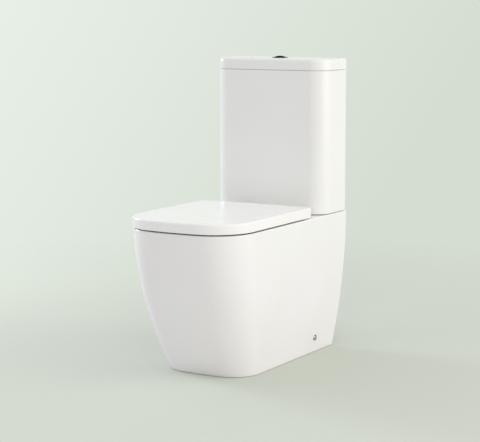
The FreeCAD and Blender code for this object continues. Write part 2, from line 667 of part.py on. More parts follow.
def make_floor_brackets():
    """Moulded angle brackets inside the skirt, each with a boss for the side screw."""
    brackets = []
    for side in SIDES:
        foot_x = skirt_half_width(0) - PAN_WALL - BRACKET_GAP
        head_x = skirt_half_width(BRACKET_HEIGHT) - PAN_WALL - BRACKET_GAP
        near = FIXING_FROM_WALL - BRACKET_WIDTH / 2
        corners = [
            point(side * foot_x, near, 0),
            point(side * head_x, near, BRACKET_HEIGHT),
            point(side * (head_x - BRACKET_THICKNESS), near, BRACKET_HEIGHT),
            point(side * (foot_x - BRACKET_THICKNESS), near, BRACKET_THICKNESS),
            point(side * (foot_x - BRACKET_BASE), near, BRACKET_THICKNESS),
            point(side * (foot_x - BRACKET_BASE), near, 0),
        ]
        angle = Part.Face(Part.makePolygon(corners + corners[:1])).extrude(BACK * -BRACKET_WIDTH)
        boss = fixing_rod(side, BRACKET_BOSS_RADIUS, PAN_WALL + BRACKET_THICKNESS,
                          PAN_WALL + BRACKET_THICKNESS + BRACKET_BOSS_LENGTH)
        parts = [boss]
        for edge in (near, near + BRACKET_WIDTH - BRACKET_RIB):
            rib = [
                point(side * (foot_x - BRACKET_THICKNESS / 2), edge, 0),
                point(side * (head_x - BRACKET_THICKNESS / 2), edge, BRACKET_HEIGHT),
                point(side * (foot_x - BRACKET_BASE), edge, BRACKET_THICKNESS),
                point(side * (foot_x - BRACKET_BASE), edge, 0),
            ]
            parts.append(Part.Face(Part.makePolygon(rib + rib[:1])).extrude(BACK * -BRACKET_RIB))
        hole_x = side * (foot_x - (BRACKET_BASE + BRACKET_THICKNESS) / 2)
        hole = rod(BRACKET_HOLE_RADIUS, hole_x, FIXING_FROM_WALL, -CUT_OVERRUN,
                   BRACKET_THICKNESS + CUT_OVERRUN)
        end = PAN_WALL + BRACKET_THICKNESS + BRACKET_BOSS_LENGTH + CUT_OVERRUN
        bore = fixing_rod(side, FIXING_SCREW_RADIUS + THREAD_GAP, 0, end)
        brackets.append(angle.fuse(parts).cut([hole, bore]).removeSplitter())
    return group(brackets)


def make_side_sleeves():
    """Plastic bushes that line the skirt's holes and take the screw heads."""
    start = FIXING_HEAD_DEPTH + FIXING_HEAD_HEIGHT
    sleeves = []
    for side in SIDES:
        outer = fixing_rod(side, FIXING_HOLE_RADIUS - THREAD_GAP, start, PAN_WALL)
        bore = fixing_rod(side, FIXING_HOLE_RADIUS - THREAD_GAP - FIXING_SLEEVE_WALL, 0,
                          PAN_WALL + CUT_OVERRUN)
        sleeves.append(outer.cut(bore))
    return group(sleeves)


def make_side_screws():
    """Slotted screws from the skirt into the bracket bosses."""
    screws = []
    for side in SIDES:
        seat = FIXING_HEAD_DEPTH + FIXING_HEAD_HEIGHT
        head = fixing_rod(side, FIXING_HEAD_RADIUS, FIXING_HEAD_DEPTH, seat)
        shank = fixing_rod(side, FIXING_SCREW_RADIUS, seat, FIXING_SCREW_LENGTH)
        place, outward = fixing_frame(side)
        slot = Part.makeBox(2 * FIXING_HEAD_RADIUS, FIXING_SLOT_WIDTH, 2 * FIXING_HEAD_RADIUS)
        slot.translate(FreeCAD.Vector(-FIXING_HEAD_RADIUS, -FIXING_SLOT_WIDTH / 2, -FIXING_HEAD_HEIGHT / 2))
        slot.Placement = FreeCAD.Placement(
            place - outward * FIXING_HEAD_DEPTH, FreeCAD.Rotation(UP, outward)).multiply(slot.Placement)
        screws.append(head.fuse(shank).cut(slot).removeSplitter())
    return group(screws)


def make_side_caps():
    """Round-edged covers that press into the skirt's holes over the screw heads."""
    caps = []
    hole = FIXING_HOLE_RADIUS - THREAD_GAP
    for side in SIDES:
        outward = fixing_frame(side)[1]
        cover = fixing_rod(side, CAP_RADIUS, -CAP_HEIGHT, -PIN_GAP)
        outermost = max(cover.Edges, key=lambda edge: edge.CenterOfMass.dot(outward))
        cover = cover.makeFillet(CAP_EDGE_RADIUS, [outermost])
        stem = fixing_rod(side, hole, -PIN_GAP, CAP_STEM_LENGTH)
        stem = stem.cut(fixing_rod(side, hole - CAP_STEM_WALL, -PIN_GAP, CAP_STEM_LENGTH + CUT_OVERRUN))
        caps.append(cover.fuse(stem).removeSplitter())
    return group(caps)


# Cistern


def cistern_outline(inset, z):
    """The cistern's outline, drawn in from the lid's edge."""
    rear_corner = max(CISTERN_REAR_RADIUS - inset, CISTERN_REAR_RADIUS / 2)
    return outline(BODY_WIDTH / 2 - inset, CISTERN_DEPTH - inset, inset, CISTERN_CROWN_RADIUS,
                   CISTERN_CORNER_RADIUS - inset, z, rear_corner)


def tank_outline(inset, z):
    """The tank's outline: flush with the wall, and a little inside the lid elsewhere."""
    sides = CISTERN_SIDE_INSET + inset
    rear_corner = max(CISTERN_REAR_RADIUS - inset, CISTERN_REAR_RADIUS / 2)
    return outline(BODY_WIDTH / 2 - sides, CISTERN_DEPTH - sides, inset, CISTERN_CROWN_RADIUS,
                   CISTERN_CORNER_RADIUS - sides, z, rear_corner)


def make_cistern_tank():
    """Open china box with a rounded foot and a fine round at its top edge."""
    outer = prism(tank_outline(0, TANK_BOTTOM), CISTERN_TOP_HEIGHT)
    outer = outer.makeFillet(CISTERN_FOOT_RADIUS, edges_at(outer, TANK_BOTTOM, 0))
    outer = outer.makeFillet(JOINT_LINE_RADIUS, edges_at(outer, CISTERN_TOP_HEIGHT, 0))
    inner = prism(tank_outline(CISTERN_WALL, TANK_FLOOR), CISTERN_TOP_HEIGHT + CUT_OVERRUN)
    inner = inner.makeFillet(CISTERN_FLOOR_RADIUS, edges_at(inner, TANK_FLOOR, 0))
    low = TANK_BOTTOM - CUT_OVERRUN
    high = TANK_FLOOR + CUT_OVERRUN
    cuts = [inner, rod(VALVE_SHANK_RADIUS + VALVE_HOLE_GAP, 0, CISTERN_CENTRE, low, high)]
    for side in SIDES:
        cuts.append(rod(BOLT_HOLE_RADIUS, side * BOLT_HALF_SPACING, CISTERN_CENTRE, low, high))
        cuts.append(rod(INLET_TANK_HOLE_RADIUS, side * INLET_HALF_SPACING, CISTERN_CENTRE, low, high))
    return outer.cut(cuts)


def make_cistern_lid():
    """China cap, flush with the tank, with a lip that drops inside the tank's wall."""
    outer = prism(cistern_outline(0, CISTERN_TOP_HEIGHT), LID_TOP)
    outer = outer.makeFillet(LID_TOP_RADIUS, edges_at(outer, LID_TOP, 0))
    outer = outer.makeFillet(JOINT_LINE_RADIUS, edges_at(outer, CISTERN_TOP_HEIGHT, 0))
    hollow = prism(cistern_outline(LID_WALL, CISTERN_TOP_HEIGHT - CUT_OVERRUN), LID_CEILING)
    lip_low = CISTERN_TOP_HEIGHT - LID_LIP_DROP
    lip_inset = CISTERN_WALL + CISTERN_SIDE_INSET + LID_LIP_GAP
    lip = prism(cistern_outline(lip_inset, lip_low), LID_CEILING)
    lip = lip.cut(prism(cistern_outline(lip_inset + LID_LIP_WALL, lip_low - CUT_OVERRUN), LID_CEILING))
    hole = rod(BUTTON_HOLE_RADIUS, 0, CISTERN_CENTRE, LID_CEILING - CUT_OVERRUN, LID_TOP + CUT_OVERRUN)
    return outer.cut(hollow).fuse(lip).cut(hole).removeSplitter()


def make_cistern_pads():
    """Thin rubber pads that bed the tank on the deck."""
    pads = []
    for side in SIDES:
        for from_wall in (PAD_REAR_FROM_WALL, PAD_FRONT_FROM_WALL):
            pads.append(rod(PAD_RADIUS, side * PAD_HALF_SPACING, from_wall, RIM_HEIGHT, TANK_BOTTOM))
    return group(pads)


def turned(profile):
    """A solid of revolution about the button's upright axis, from radius and height pairs."""
    corners = [point(radius, CISTERN_CENTRE, height) for radius, height in profile]
    face = Part.Face(Part.makePolygon(corners + corners[:1]))
    return face.revolve(point(0, CISTERN_CENTRE, 0), UP, 360)


def make_button_housing():
    """Bezel and barrel of the push button, in the lid's hole."""
    bore = HOUSING_RADIUS - HOUSING_WALL
    inner_top = LID_TOP + BEZEL_RISE
    body = turned([
        (bore, HOUSING_BOTTOM),
        (HOUSING_RADIUS, HOUSING_BOTTOM),
        (HOUSING_RADIUS, LID_TOP),
        (BEZEL_RADIUS, LID_TOP),
        (BEZEL_RADIUS, LID_TOP + BEZEL_EDGE),
        ((BEZEL_RADIUS + HOUSING_RADIUS) / 2, LID_TOP + (BEZEL_EDGE + BEZEL_RISE) * BEZEL_SHOULDER_SHARE),
        (HOUSING_RADIUS - HOUSING_WALL / 2, inner_top),
        (bore, inner_top),
    ])
    floor = rod(HOUSING_RADIUS, 0, CISTERN_CENTRE, HOUSING_BOTTOM, HOUSING_BOTTOM + HOUSING_FLOOR)
    holes = []
    for side in SIDES:
        holes.append(rod(ROD_RADIUS + RUNNING_GAP, side * ROD_HALF_SPACING, CISTERN_CENTRE,
                         HOUSING_BOTTOM - CUT_OVERRUN, HOUSING_BOTTOM + HOUSING_FLOOR + CUT_OVERRUN))
    return body.fuse(floor).cut(holes).removeSplitter()


def make_button_ring_nut():
    """Fluted plastic nut that clamps the housing under the lid."""
    nut = pipe(RING_NUT_RADIUS, HOUSING_RADIUS + THREAD_GAP, 0, CISTERN_CENTRE,
               LID_CEILING - RING_NUT_HEIGHT, LID_CEILING)
    flutes = []
    for number in range(RING_NUT_FLUTES):
        angle = 2 * math.pi * number / RING_NUT_FLUTES
        flutes.append(rod(RING_NUT_FLUTE_RADIUS, RING_NUT_RADIUS * math.cos(angle),
                          CISTERN_CENTRE + RING_NUT_RADIUS * math.sin(angle),
                          LID_CEILING - RING_NUT_HEIGHT - CUT_OVERRUN, LID_CEILING + CUT_OVERRUN))
    return nut.cut(flutes)


def button_half(side):
    """One of the two domed buttons: full flush on the left, half flush on the right."""
    rim_z = LID_TOP + BEZEL_RISE
    crown_z = rim_z + BUTTON_DOME_RISE
    low = point(0, CISTERN_CENTRE, BUTTON_BASE)
    rim = point(BUTTON_RADIUS, CISTERN_CENTRE, rim_z)
    crown = point(0, CISTERN_CENTRE, crown_z)
    bulge = (BUTTON_RADIUS ** 2 + BUTTON_DOME_RISE ** 2) / (2 * BUTTON_DOME_RISE)
    half = math.asin(BUTTON_RADIUS / bulge) / 2
    middle = point(bulge * math.sin(half), CISTERN_CENTRE, crown_z - bulge * (1 - math.cos(half)))
    corner = point(BUTTON_RADIUS, CISTERN_CENTRE, BUTTON_BASE)
    profile = Part.Wire([line(low, corner), line(corner, rim), arc(rim, middle, crown), line(crown, low)])
    disc = Part.Face(profile).revolve(point(0, CISTERN_CENTRE, 0), UP, 360)
    edge = BUTTON_SPLIT_X + side * BUTTON_SPLIT_GAP / 2
    reach = BUTTON_RADIUS + CUT_OVERRUN
    ends = sorted((edge, side * reach))
    keep = block(ends[0], ends[1], CISTERN_CENTRE - reach, CISTERN_CENTRE + reach,
                 BUTTON_BASE - CUT_OVERRUN, crown_z + CUT_OVERRUN)
    stem = rod(ROD_RADIUS, side * ROD_HALF_SPACING, CISTERN_CENTRE, PLUNGER_TOP, BUTTON_BASE)
    return disc.common(keep).fuse(stem).removeSplitter()


def button_spring(side):
    """Return spring between the housing's floor and one button."""
    low = HOUSING_BOTTOM + HOUSING_FLOOR + SPRING_WIRE_RADIUS + SPRING_SEAT_GAP
    high = BUTTON_BASE - SPRING_WIRE_RADIUS - SPRING_SEAT_GAP
    stops = []
    for number in range(SPRING_TURNS * SPRING_RUNS + 1):
        angle = 2 * math.pi * number / SPRING_RUNS
        rise = (high - low) * number / (SPRING_TURNS * SPRING_RUNS)
        stops.append(FreeCAD.Vector(SPRING_RADIUS * math.cos(angle), SPRING_RADIUS * math.sin(angle), rise))
    ring = Part.Wire(Part.makeCircle(SPRING_WIRE_RADIUS, stops[0], stops[1] - stops[0]))
    spring = Part.makePolygon(stops).makePipeShell([ring], True, False, 1)
    spring.translate(point(side * ROD_HALF_SPACING, CISTERN_CENTRE, low))
    return spring


# Flush valve


def make_flush_valve_base():
    """Threaded outlet with a flange on the tank's floor and a raised valve seat."""
    low = TANK_BOTTOM - VALVE_SHANK_END_DROP
    flange_low = TANK_FLOOR + VALVE_WASHER_HEIGHT
    shank = rod(VALVE_SHANK_RADIUS, 0, CISTERN_CENTRE, low, VALVE_FLANGE_TOP)
    flange = rod(VALVE_FLANGE_RADIUS, 0, CISTERN_CENTRE, flange_low, VALVE_FLANGE_TOP)
    seat = rod(VALVE_BORE_RADIUS + VALVE_SEAT_WALL, 0, CISTERN_CENTRE, VALVE_FLANGE_TOP, VALVE_SEAT_TOP)
    bore = rod(VALVE_BORE_RADIUS, 0, CISTERN_CENTRE, low - CUT_OVERRUN, VALVE_SEAT_TOP + CUT_OVERRUN)
    return joined([shank, flange, seat]).cut(bore)


def make_flush_valve_washer():
    return pipe(VALVE_FLANGE_RADIUS, VALVE_SHANK_RADIUS + RUNNING_GAP, 0, CISTERN_CENTRE,
                TANK_FLOOR, TANK_FLOOR + VALVE_WASHER_HEIGHT)


def make_flush_valve_backnut():
    low = TANK_BOTTOM - BACKNUT_HEIGHT
    bore = rod(VALVE_SHANK_RADIUS + THREAD_GAP, 0, CISTERN_CENTRE, low - CUT_OVERRUN,
               TANK_BOTTOM + CUT_OVERRUN)
    return hexagon(BACKNUT_RADIUS, 0, CISTERN_CENTRE, low, TANK_BOTTOM).cut(bore)


def make_coupling_gasket():
    """Soft doughnut between the back nut and the floor of the deck's well."""
    return pipe(GASKET_RADIUS, VALVE_SHANK_RADIUS + RUNNING_GAP, 0, CISTERN_CENTRE,
                WELL_BOTTOM, TANK_BOTTOM - BACKNUT_HEIGHT)


def make_flush_tower():
    """Cage of the flush valve: windows below and above, a guide ring and a capped top."""
    bore = TOWER_RADIUS - TOWER_WALL
    cage = pipe(TOWER_RADIUS, bore, 0, CISTERN_CENTRE, VALVE_FLANGE_TOP, TOWER_TOP - TOWER_CAP)
    guide_low = VALVE_FLANGE_TOP + TOWER_HEIGHT / 2
    guide = pipe(TOWER_RADIUS - TOWER_WALL / 2, OVERFLOW_RADIUS + RUNNING_GAP, 0, CISTERN_CENTRE,
                 guide_low, guide_low + TOWER_GUIDE_HEIGHT)
    cap = rod(TOWER_RADIUS, 0, CISTERN_CENTRE, TOWER_TOP - TOWER_CAP, TOWER_TOP)
    body = joined([cage, guide, cap])
    cuts = []
    for number in range(TOWER_WINDOWS):
        for low, height in (
            (VALVE_FLANGE_TOP + TOWER_WINDOW_GAP, TOWER_HEIGHT * TOWER_WINDOW_SHARE),
            (guide_low + TOWER_GUIDE_HEIGHT + TOWER_WINDOW_GAP, TOWER_HEIGHT * TOWER_UPPER_WINDOW_SHARE),
        ):
            window = block(-TOWER_WINDOW_WIDTH / 2, TOWER_WINDOW_WIDTH / 2, CISTERN_CENTRE,
                           CISTERN_CENTRE + TOWER_RADIUS + CUT_OVERRUN, low, low + height)
            window.rotate(point(0, CISTERN_CENTRE, 0), UP, 360 * (number + 1 / 2) / TOWER_WINDOWS)
            cuts.append(window)
    for side in SIDES:
        cuts.append(rod(PLUNGER_RADIUS + RUNNING_GAP, side * ROD_HALF_SPACING, CISTERN_CENTRE,
                        TOWER_TOP - TOWER_CAP - CUT_OVERRUN, TOWER_TOP + CUT_OVERRUN))
    return body.cut(cuts)


def make_flush_seal():
    return pipe(SEAL_RADIUS, SEAL_HOLE_RADIUS, 0, CISTERN_CENTRE, VALVE_SEAT_TOP, SEAL_TOP)


def make_overflow_tube():
    """Lift tube of the valve: its foot carries the seal, its open top is the overflow."""
    foot = rod(SEAL_RADIUS, 0, CISTERN_CENTRE, SEAL_TOP, SEAL_TOP + LIFT_PLATE)
    stem = rod(OVERFLOW_RADIUS, 0, CISTERN_CENTRE, SEAL_TOP, OVERFLOW_TOP)
    bore = rod(OVERFLOW_RADIUS - OVERFLOW_WALL, 0, CISTERN_CENTRE, SEAL_TOP - CUT_OVERRUN,
               OVERFLOW_TOP + CUT_OVERRUN)
    return joined([foot, stem]).cut(bore)


def plunger(side):
    """Short push piece in the tower's cap, under one button's rod."""
    x = side * ROD_HALF_SPACING
    neck = PLUNGER_TOP - PLUNGER_HEAD_HEIGHT
    stem = rod(PLUNGER_RADIUS, x, CISTERN_CENTRE, PLUNGER_LOW, neck)
    return joined([stem, rod(PLUNGER_HEAD_RADIUS, x, CISTERN_CENTRE, neck, PLUNGER_TOP)])


# Coupling between tank and pan


def both_sides(make):
    return group([make(side * BOLT_HALF_SPACING) for side in SIDES])


def make_coupling_bolts():
    seat = TANK_FLOOR + RUBBER_WASHER_HEIGHT + STEEL_WASHER_HEIGHT
    end = DECK_UNDERSIDE - RUBBER_WASHER_HEIGHT - STEEL_WASHER_HEIGHT - WING_HUB_HEIGHT - BOLT_SPARE

    def bolt(x):
        head = hexagon(BOLT_HEAD_RADIUS, x, CISTERN_CENTRE, seat, seat + BOLT_HEAD_HEIGHT)
        return head.fuse(rod(BOLT_RADIUS, x, CISTERN_CENTRE, end, seat)).removeSplitter()

    return both_sides(bolt)


def washer_stack(radius, height, inside_low, under_high):
    """Washers of one kind: two on the tank's floor and two under the deck."""
    washers = []
    for side in SIDES:
        x = side * BOLT_HALF_SPACING
        bore = BOLT_RADIUS + RUNNING_GAP
        washers.append(pipe(radius, bore, x, CISTERN_CENTRE, inside_low, inside_low + height))
        washers.append(pipe(radius, bore, x, CISTERN_CENTRE, under_high - height, under_high))
    return group(washers)


def make_coupling_rubber_washers():
    return washer_stack(RUBBER_WASHER_RADIUS, RUBBER_WASHER_HEIGHT, TANK_FLOOR, DECK_UNDERSIDE)


def make_coupling_steel_washers():
    return washer_stack(STEEL_WASHER_RADIUS, STEEL_WASHER_HEIGHT, TANK_FLOOR + RUBBER_WASHER_HEIGHT,
                        DECK_UNDERSIDE - RUBBER_WASHER_HEIGHT)


def make_coupling_wing_nuts():
    high = DECK_UNDERSIDE - RUBBER_WASHER_HEIGHT - STEEL_WASHER_HEIGHT
    low = high - WING_HUB_HEIGHT

    def nut(x):
        hub = rod(WING_HUB_RADIUS, x, CISTERN_CENTRE, low, high)
        wings = []
        for side in SIDES:
            near = point(x - WING_THICKNESS / 2, CISTERN_CENTRE - side * BOLT_RADIUS, high)
            corners = [
                near,
                near + BACK * (side * (WING_HUB_RADIUS - BOLT_RADIUS)) - UP * (WING_HUB_HEIGHT / 4),
                near + BACK * (side * (WING_SPAN - BOLT_RADIUS)) - UP * (WING_HEIGHT / 2),
                near + BACK * (side * (WING_SPAN - BOLT_RADIUS)) - UP * WING_HEIGHT,
                near - UP * WING_HUB_HEIGHT,
            ]
            wings.append(Part.Face(Part.makePolygon(corners + corners[:1])).extrude(RIGHT * WING_THICKNESS))
        bore = rod(BOLT_RADIUS + THREAD_GAP, x, CISTERN_CENTRE, low - CUT_OVERRUN, high + CUT_OVERRUN)
        return hub.fuse(wings).cut(bore).removeSplitter()

    return both_sides(nut)


# Water inlet


def inlet_pair(make):
    return group([make(side * INLET_HALF_SPACING) for side in SIDES])


def make_inlet_washers():
    return inlet_pair(lambda x: pipe(INLET_FLANGE_RADIUS, INLET_SHANK_RADIUS + RUNNING_GAP, x, CISTERN_CENTRE,
                                     TANK_FLOOR, TANK_FLOOR + INLET_WASHER_HEIGHT))


def make_inlet_backnuts():
    low = TANK_BOTTOM - INLET_NUT_HEIGHT

    def nut(x):
        bore = rod(INLET_SHANK_RADIUS + THREAD_GAP, x, CISTERN_CENTRE, low - CUT_OVERRUN,
                   TANK_BOTTOM + CUT_OVERRUN)
        return hexagon(INLET_NUT_RADIUS, x, CISTERN_CENTRE, low, TANK_BOTTOM).cut(bore)

    return inlet_pair(nut)


def make_fill_valve_shank():
    """Shank through the tank's floor: hose thread below, flange inside."""
    x = -INLET_HALF_SPACING
    low = TANK_BOTTOM - INLET_SHANK_DROP
    flange_low = TANK_FLOOR + INLET_WASHER_HEIGHT
    thread = rod(INLET_THREAD_RADIUS, x, CISTERN_CENTRE, low, low + INLET_THREAD_LENGTH)
    stem = rod(INLET_SHANK_RADIUS, x, CISTERN_CENTRE, low + INLET_THREAD_LENGTH, INLET_FLANGE_TOP)
    flange = rod(INLET_FLANGE_RADIUS, x, CISTERN_CENTRE, flange_low, INLET_FLANGE_TOP)
    bore = rod(INLET_BORE_RADIUS, x, CISTERN_CENTRE, low - CUT_OVERRUN, INLET_FLANGE_TOP + CUT_OVERRUN)
    return joined([thread, stem, flange]).cut(bore)


def make_fill_valve_riser():
    """Tube up to the valve head, with the collar that the float rests on when the tank is empty."""
    x = -INLET_HALF_SPACING
    stop = FLOAT_BASE - FLOAT_STOP_HEIGHT
    tube = rod(RISER_RADIUS, x, CISTERN_CENTRE, INLET_FLANGE_TOP, RISER_TOP)
    collar = rod(FLOAT_STOP_RADIUS, x, CISTERN_CENTRE, stop, stop + FLOAT_STOP_HEIGHT)
    bore = rod(RISER_RADIUS - RISER_WALL, x, CISTERN_CENTRE, INLET_FLANGE_TOP - CUT_OVERRUN,
               RISER_TOP + CUT_OVERRUN)
    return joined([tube, collar]).cut(bore)


def make_fill_valve_head():
    """Valve head with a side spout and two ears for the lever's pin."""
    x = -INLET_HALF_SPACING
    body = rod(HEAD_RADIUS, x, CISTERN_CENTRE, RISER_TOP, HEAD_TOP)
    body = body.makeFillet(HEAD_EDGE_RADIUS, edges_at(body, HEAD_TOP, 0))
    spout_z = RISER_TOP + HEAD_HEIGHT / 3
    spout_end = x + HEAD_RADIUS + HEAD_SPOUT_LENGTH
    spout = axle(HEAD_SPOUT_RADIUS, x + HEAD_RADIUS / 2, spout_end, CISTERN_CENTRE, spout_z)
    pivot = CISTERN_CENTRE + LINK_FROM_RISER - LEVER_LENGTH
    parts = [spout]
    inner = LEVER_WIDTH / 2 + RUNNING_GAP
    outer = inner + 2 * LEVER_EAR_WIDTH
    bore = axle(LEVER_PIN_RADIUS + THREAD_GAP, x - outer, x + outer, pivot, LEVER_Z)
    for side in SIDES:
        near = x + side * inner
        far = x + side * (inner + LEVER_EAR_WIDTH)
        ear_low = HEAD_TOP - HEAD_EDGE_RADIUS
        parts.append(axle(LEVER_EAR_RADIUS, min(near, far), max(near, far), pivot, LEVER_Z))
        parts.append(block(min(near, far), max(near, far), pivot - LEVER_EAR_RADIUS, pivot + LEVER_EAR_RADIUS,
                           ear_low, LEVER_Z))
    return body.fuse(parts).cut(bore).removeSplitter()


def make_lever_pin():
    x = -INLET_HALF_SPACING
    reach = LEVER_WIDTH / 2 + RUNNING_GAP + LEVER_EAR_WIDTH
    pivot = CISTERN_CENTRE + LINK_FROM_RISER - LEVER_LENGTH
    return axle(LEVER_PIN_RADIUS, x - reach, x + reach, pivot, LEVER_Z)


def make_fill_float():
    """Float cup round the riser: closed on top, open below."""
    x = -INLET_HALF_SPACING
    top = FLOAT_BASE + FLOAT_HEIGHT
    bore = RISER_RADIUS + FLOAT_BORE_GAP
    cup = pipe(FLOAT_RADIUS, bore, x, CISTERN_CENTRE, FLOAT_BASE, top)
    hollow = pipe(FLOAT_RADIUS - FLOAT_WALL, bore + 2 * FLOAT_WALL, x, CISTERN_CENTRE,
                  FLOAT_BASE - CUT_OVERRUN, top - FLOAT_WALL)
    return cup.cut(hollow)


def make_float_link():
    """Wire link that stands on the float and passes through the lever's slot, with a collar each side."""
    x = -INLET_HALF_SPACING
    from_wall = CISTERN_CENTRE + LINK_FROM_RISER
    top = LEVER_Z + LINK_COLLAR_GAP + LINK_COLLAR_HEIGHT
    parts = [rod(LINK_RADIUS, x, from_wall, FLOAT_BASE + FLOAT_HEIGHT, top)]
    for low in (LEVER_Z - LINK_COLLAR_GAP - LINK_COLLAR_HEIGHT, LEVER_Z + LINK_COLLAR_GAP):
        parts.append(rod(LINK_COLLAR_RADIUS, x, from_wall, low, low + LINK_COLLAR_HEIGHT))
    return joined(parts)


def make_float_lever():
    """Lever from the pin on the head to the float's link, with a slotted end."""
    x = -INLET_HALF_SPACING
    link = CISTERN_CENTRE + LINK_FROM_RISER
    pivot = link - LEVER_LENGTH
    low = LEVER_Z - LEVER_THICKNESS / 2
    high = LEVER_Z + LEVER_THICKNESS / 2
    hub = axle(LEVER_HUB_RADIUS, x - LEVER_WIDTH / 2, x + LEVER_WIDTH / 2, pivot, LEVER_Z)
    end = link + LEVER_SLOT_FRONT + LEVER_END
    arm = block(x - LEVER_WIDTH / 2, x + LEVER_WIDTH / 2, pivot, end, low, high)
    slot = block(x - LEVER_SLOT_WIDTH / 2, x + LEVER_SLOT_WIDTH / 2, link - LEVER_SLOT_BACK,
                 link + LEVER_SLOT_FRONT, low - CUT_OVERRUN, high + CUT_OVERRUN)
    bore = axle(LEVER_PIN_RADIUS + PIN_GAP, x - LEVER_WIDTH, x + LEVER_WIDTH, pivot, LEVER_Z)
    return joined([hub, arm]).cut([slot, bore])


def make_blanking_plug():
    """Closes the spare inlet hole on the right."""
    x = INLET_HALF_SPACING
    low = TANK_FLOOR + INLET_WASHER_HEIGHT
    flange = rod(INLET_FLANGE_RADIUS, x, CISTERN_CENTRE, low, INLET_FLANGE_TOP)
    return joined([flange, rod(INLET_SHANK_RADIUS, x, CISTERN_CENTRE, TANK_BOTTOM - PLUG_STEM_DROP, low)])


# Seat


def seat_outline(inset, rear, rear_corner, z):
    """The seat's outline, drawn in from the lid's edge."""
    half_width = BODY_WIDTH / 2 - SEAT_SIDE_INSET - inset
    corner = RIM_CORNER_RADIUS - SEAT_SIDE_INSET - inset
    crown = SEAT_CROWN_RADIUS - inset
    return outline(half_width, OVERALL_LENGTH - inset, rear, crown, corner, z, rear_corner)


def hinge_axle(radius, start_x, length, side):
    """A cylinder on the hinge axis, outwards from a place on one side."""
    far = start_x + length
    ends = sorted((side * start_x, side * far))
    return axle(radius, ends[0], ends[1], HINGE_FROM_WALL, HINGE_Z)


def side_block(side, x_near, x_far, wall_near, wall_far, low, high):
    ends = sorted((side * x_near, side * x_far))
    return block(ends[0], ends[1], wall_near, wall_far, low, high)


def make_seat_lid():
    """Slim cover that wraps over the ring, hollow below, with knuckles outside the hinge posts."""
    outer = prism(seat_outline(0, SEAT_REAR_FROM_WALL, SEAT_LID_REAR_RADIUS, SEAT_LID_BASE), SEAT_LID_TOP)
    outer = outer.makeFillet(SEAT_LID_TOP_RADIUS, edges_at(outer, SEAT_LID_TOP, 0))
    heel = [edge for edge in edges_at(outer, SEAT_LID_BASE, 0)
            if edge.BoundBox.YMin > WALL_Y - SEAT_REAR_FROM_WALL - PIN_GAP]
    ceiling = SEAT_LID_TOP - SEAT_LID_PLATE
    inner = seat_outline(SEAT_LID_WALL, SEAT_REAR_FROM_WALL + SEAT_LID_REAR_WALL,
                         SEAT_LID_REAR_RADIUS - SEAT_LID_REAR_WALL, SEAT_LID_BASE - CUT_OVERRUN)
    hollow = prism(inner, ceiling)
    shell = outer.cut(hollow).cut(heel_cut(heel))
    parts = []
    cuts = []
    for side in SIDES:
        knuckle = hinge_axle(HINGE_KNUCKLE_RADIUS, OUTER_KNUCKLE_X, LID_KNUCKLE_LENGTH, side)
        web = side_block(side, OUTER_KNUCKLE_X, OUTER_KNUCKLE_X + LID_KNUCKLE_LENGTH,
                         HINGE_FROM_WALL - HINGE_KNUCKLE_RADIUS, HINGE_FROM_WALL + HINGE_KNUCKLE_RADIUS,
                         HINGE_Z, ceiling)
        parts.extend([knuckle, web])
        notch_near = INNER_KNUCKLE_X - RING_KNUCKLE_LENGTH - NOTCH_GAP
        cuts.append(side_block(side, notch_near, OUTER_KNUCKLE_X, SEAT_REAR_FROM_WALL - CUT_OVERRUN,
                               HINGE_FROM_WALL, SEAT_LID_BASE - CUT_OVERRUN, ceiling))
    cuts.append(hinge_axle(DAMPER_RADIUS + THREAD_GAP, OUTER_KNUCKLE_X - CUT_OVERRUN,
                           LID_KNUCKLE_LENGTH + 2 * CUT_OVERRUN, 1))
    cuts.append(hinge_axle(HINGE_PIN_RADIUS + PIN_GAP, OUTER_KNUCKLE_X - CUT_OVERRUN,
                           LID_KNUCKLE_LENGTH + 2 * CUT_OVERRUN, -1))
    return shell.cut(cuts[:2]).fuse(parts).cut(cuts[2:]).removeSplitter()


def heel_cut(heel):
    """What the round along the lid's lower back edge takes away."""
    edge = heel[0].BoundBox
    corner = FreeCAD.Vector(edge.XMin - edge.XLength, edge.YMax, edge.ZMax)
    length = 3 * edge.XLength
    square = Part.makeBox(length, SEAT_LID_HEEL_RADIUS + CUT_OVERRUN, SEAT_LID_HEEL_RADIUS + CUT_OVERRUN,
                          corner - FreeCAD.Vector(0, SEAT_LID_HEEL_RADIUS, CUT_OVERRUN))
    centre = corner + FreeCAD.Vector(0, -SEAT_LID_HEEL_RADIUS, SEAT_LID_HEEL_RADIUS)
    return square.cut(Part.makeCylinder(SEAT_LID_HEEL_RADIUS, length, centre, RIGHT))


def ring_hole_outline(grow, z):
    """Outline of the hole in the ring, grown outwards by a wall's thickness."""
    return outline(RING_HOLE_HALF_WIDTH + grow, RING_HOLE_FRONT + grow, RING_HOLE_REAR - grow,
                   RING_HOLE_HALF_WIDTH * RING_HOLE_CROWN_SHARE + grow,
                   RING_HOLE_HALF_WIDTH * RING_HOLE_FRONT_SHARE + grow, z,
                   RING_HOLE_HALF_WIDTH * RING_HOLE_REAR_SHARE + grow)


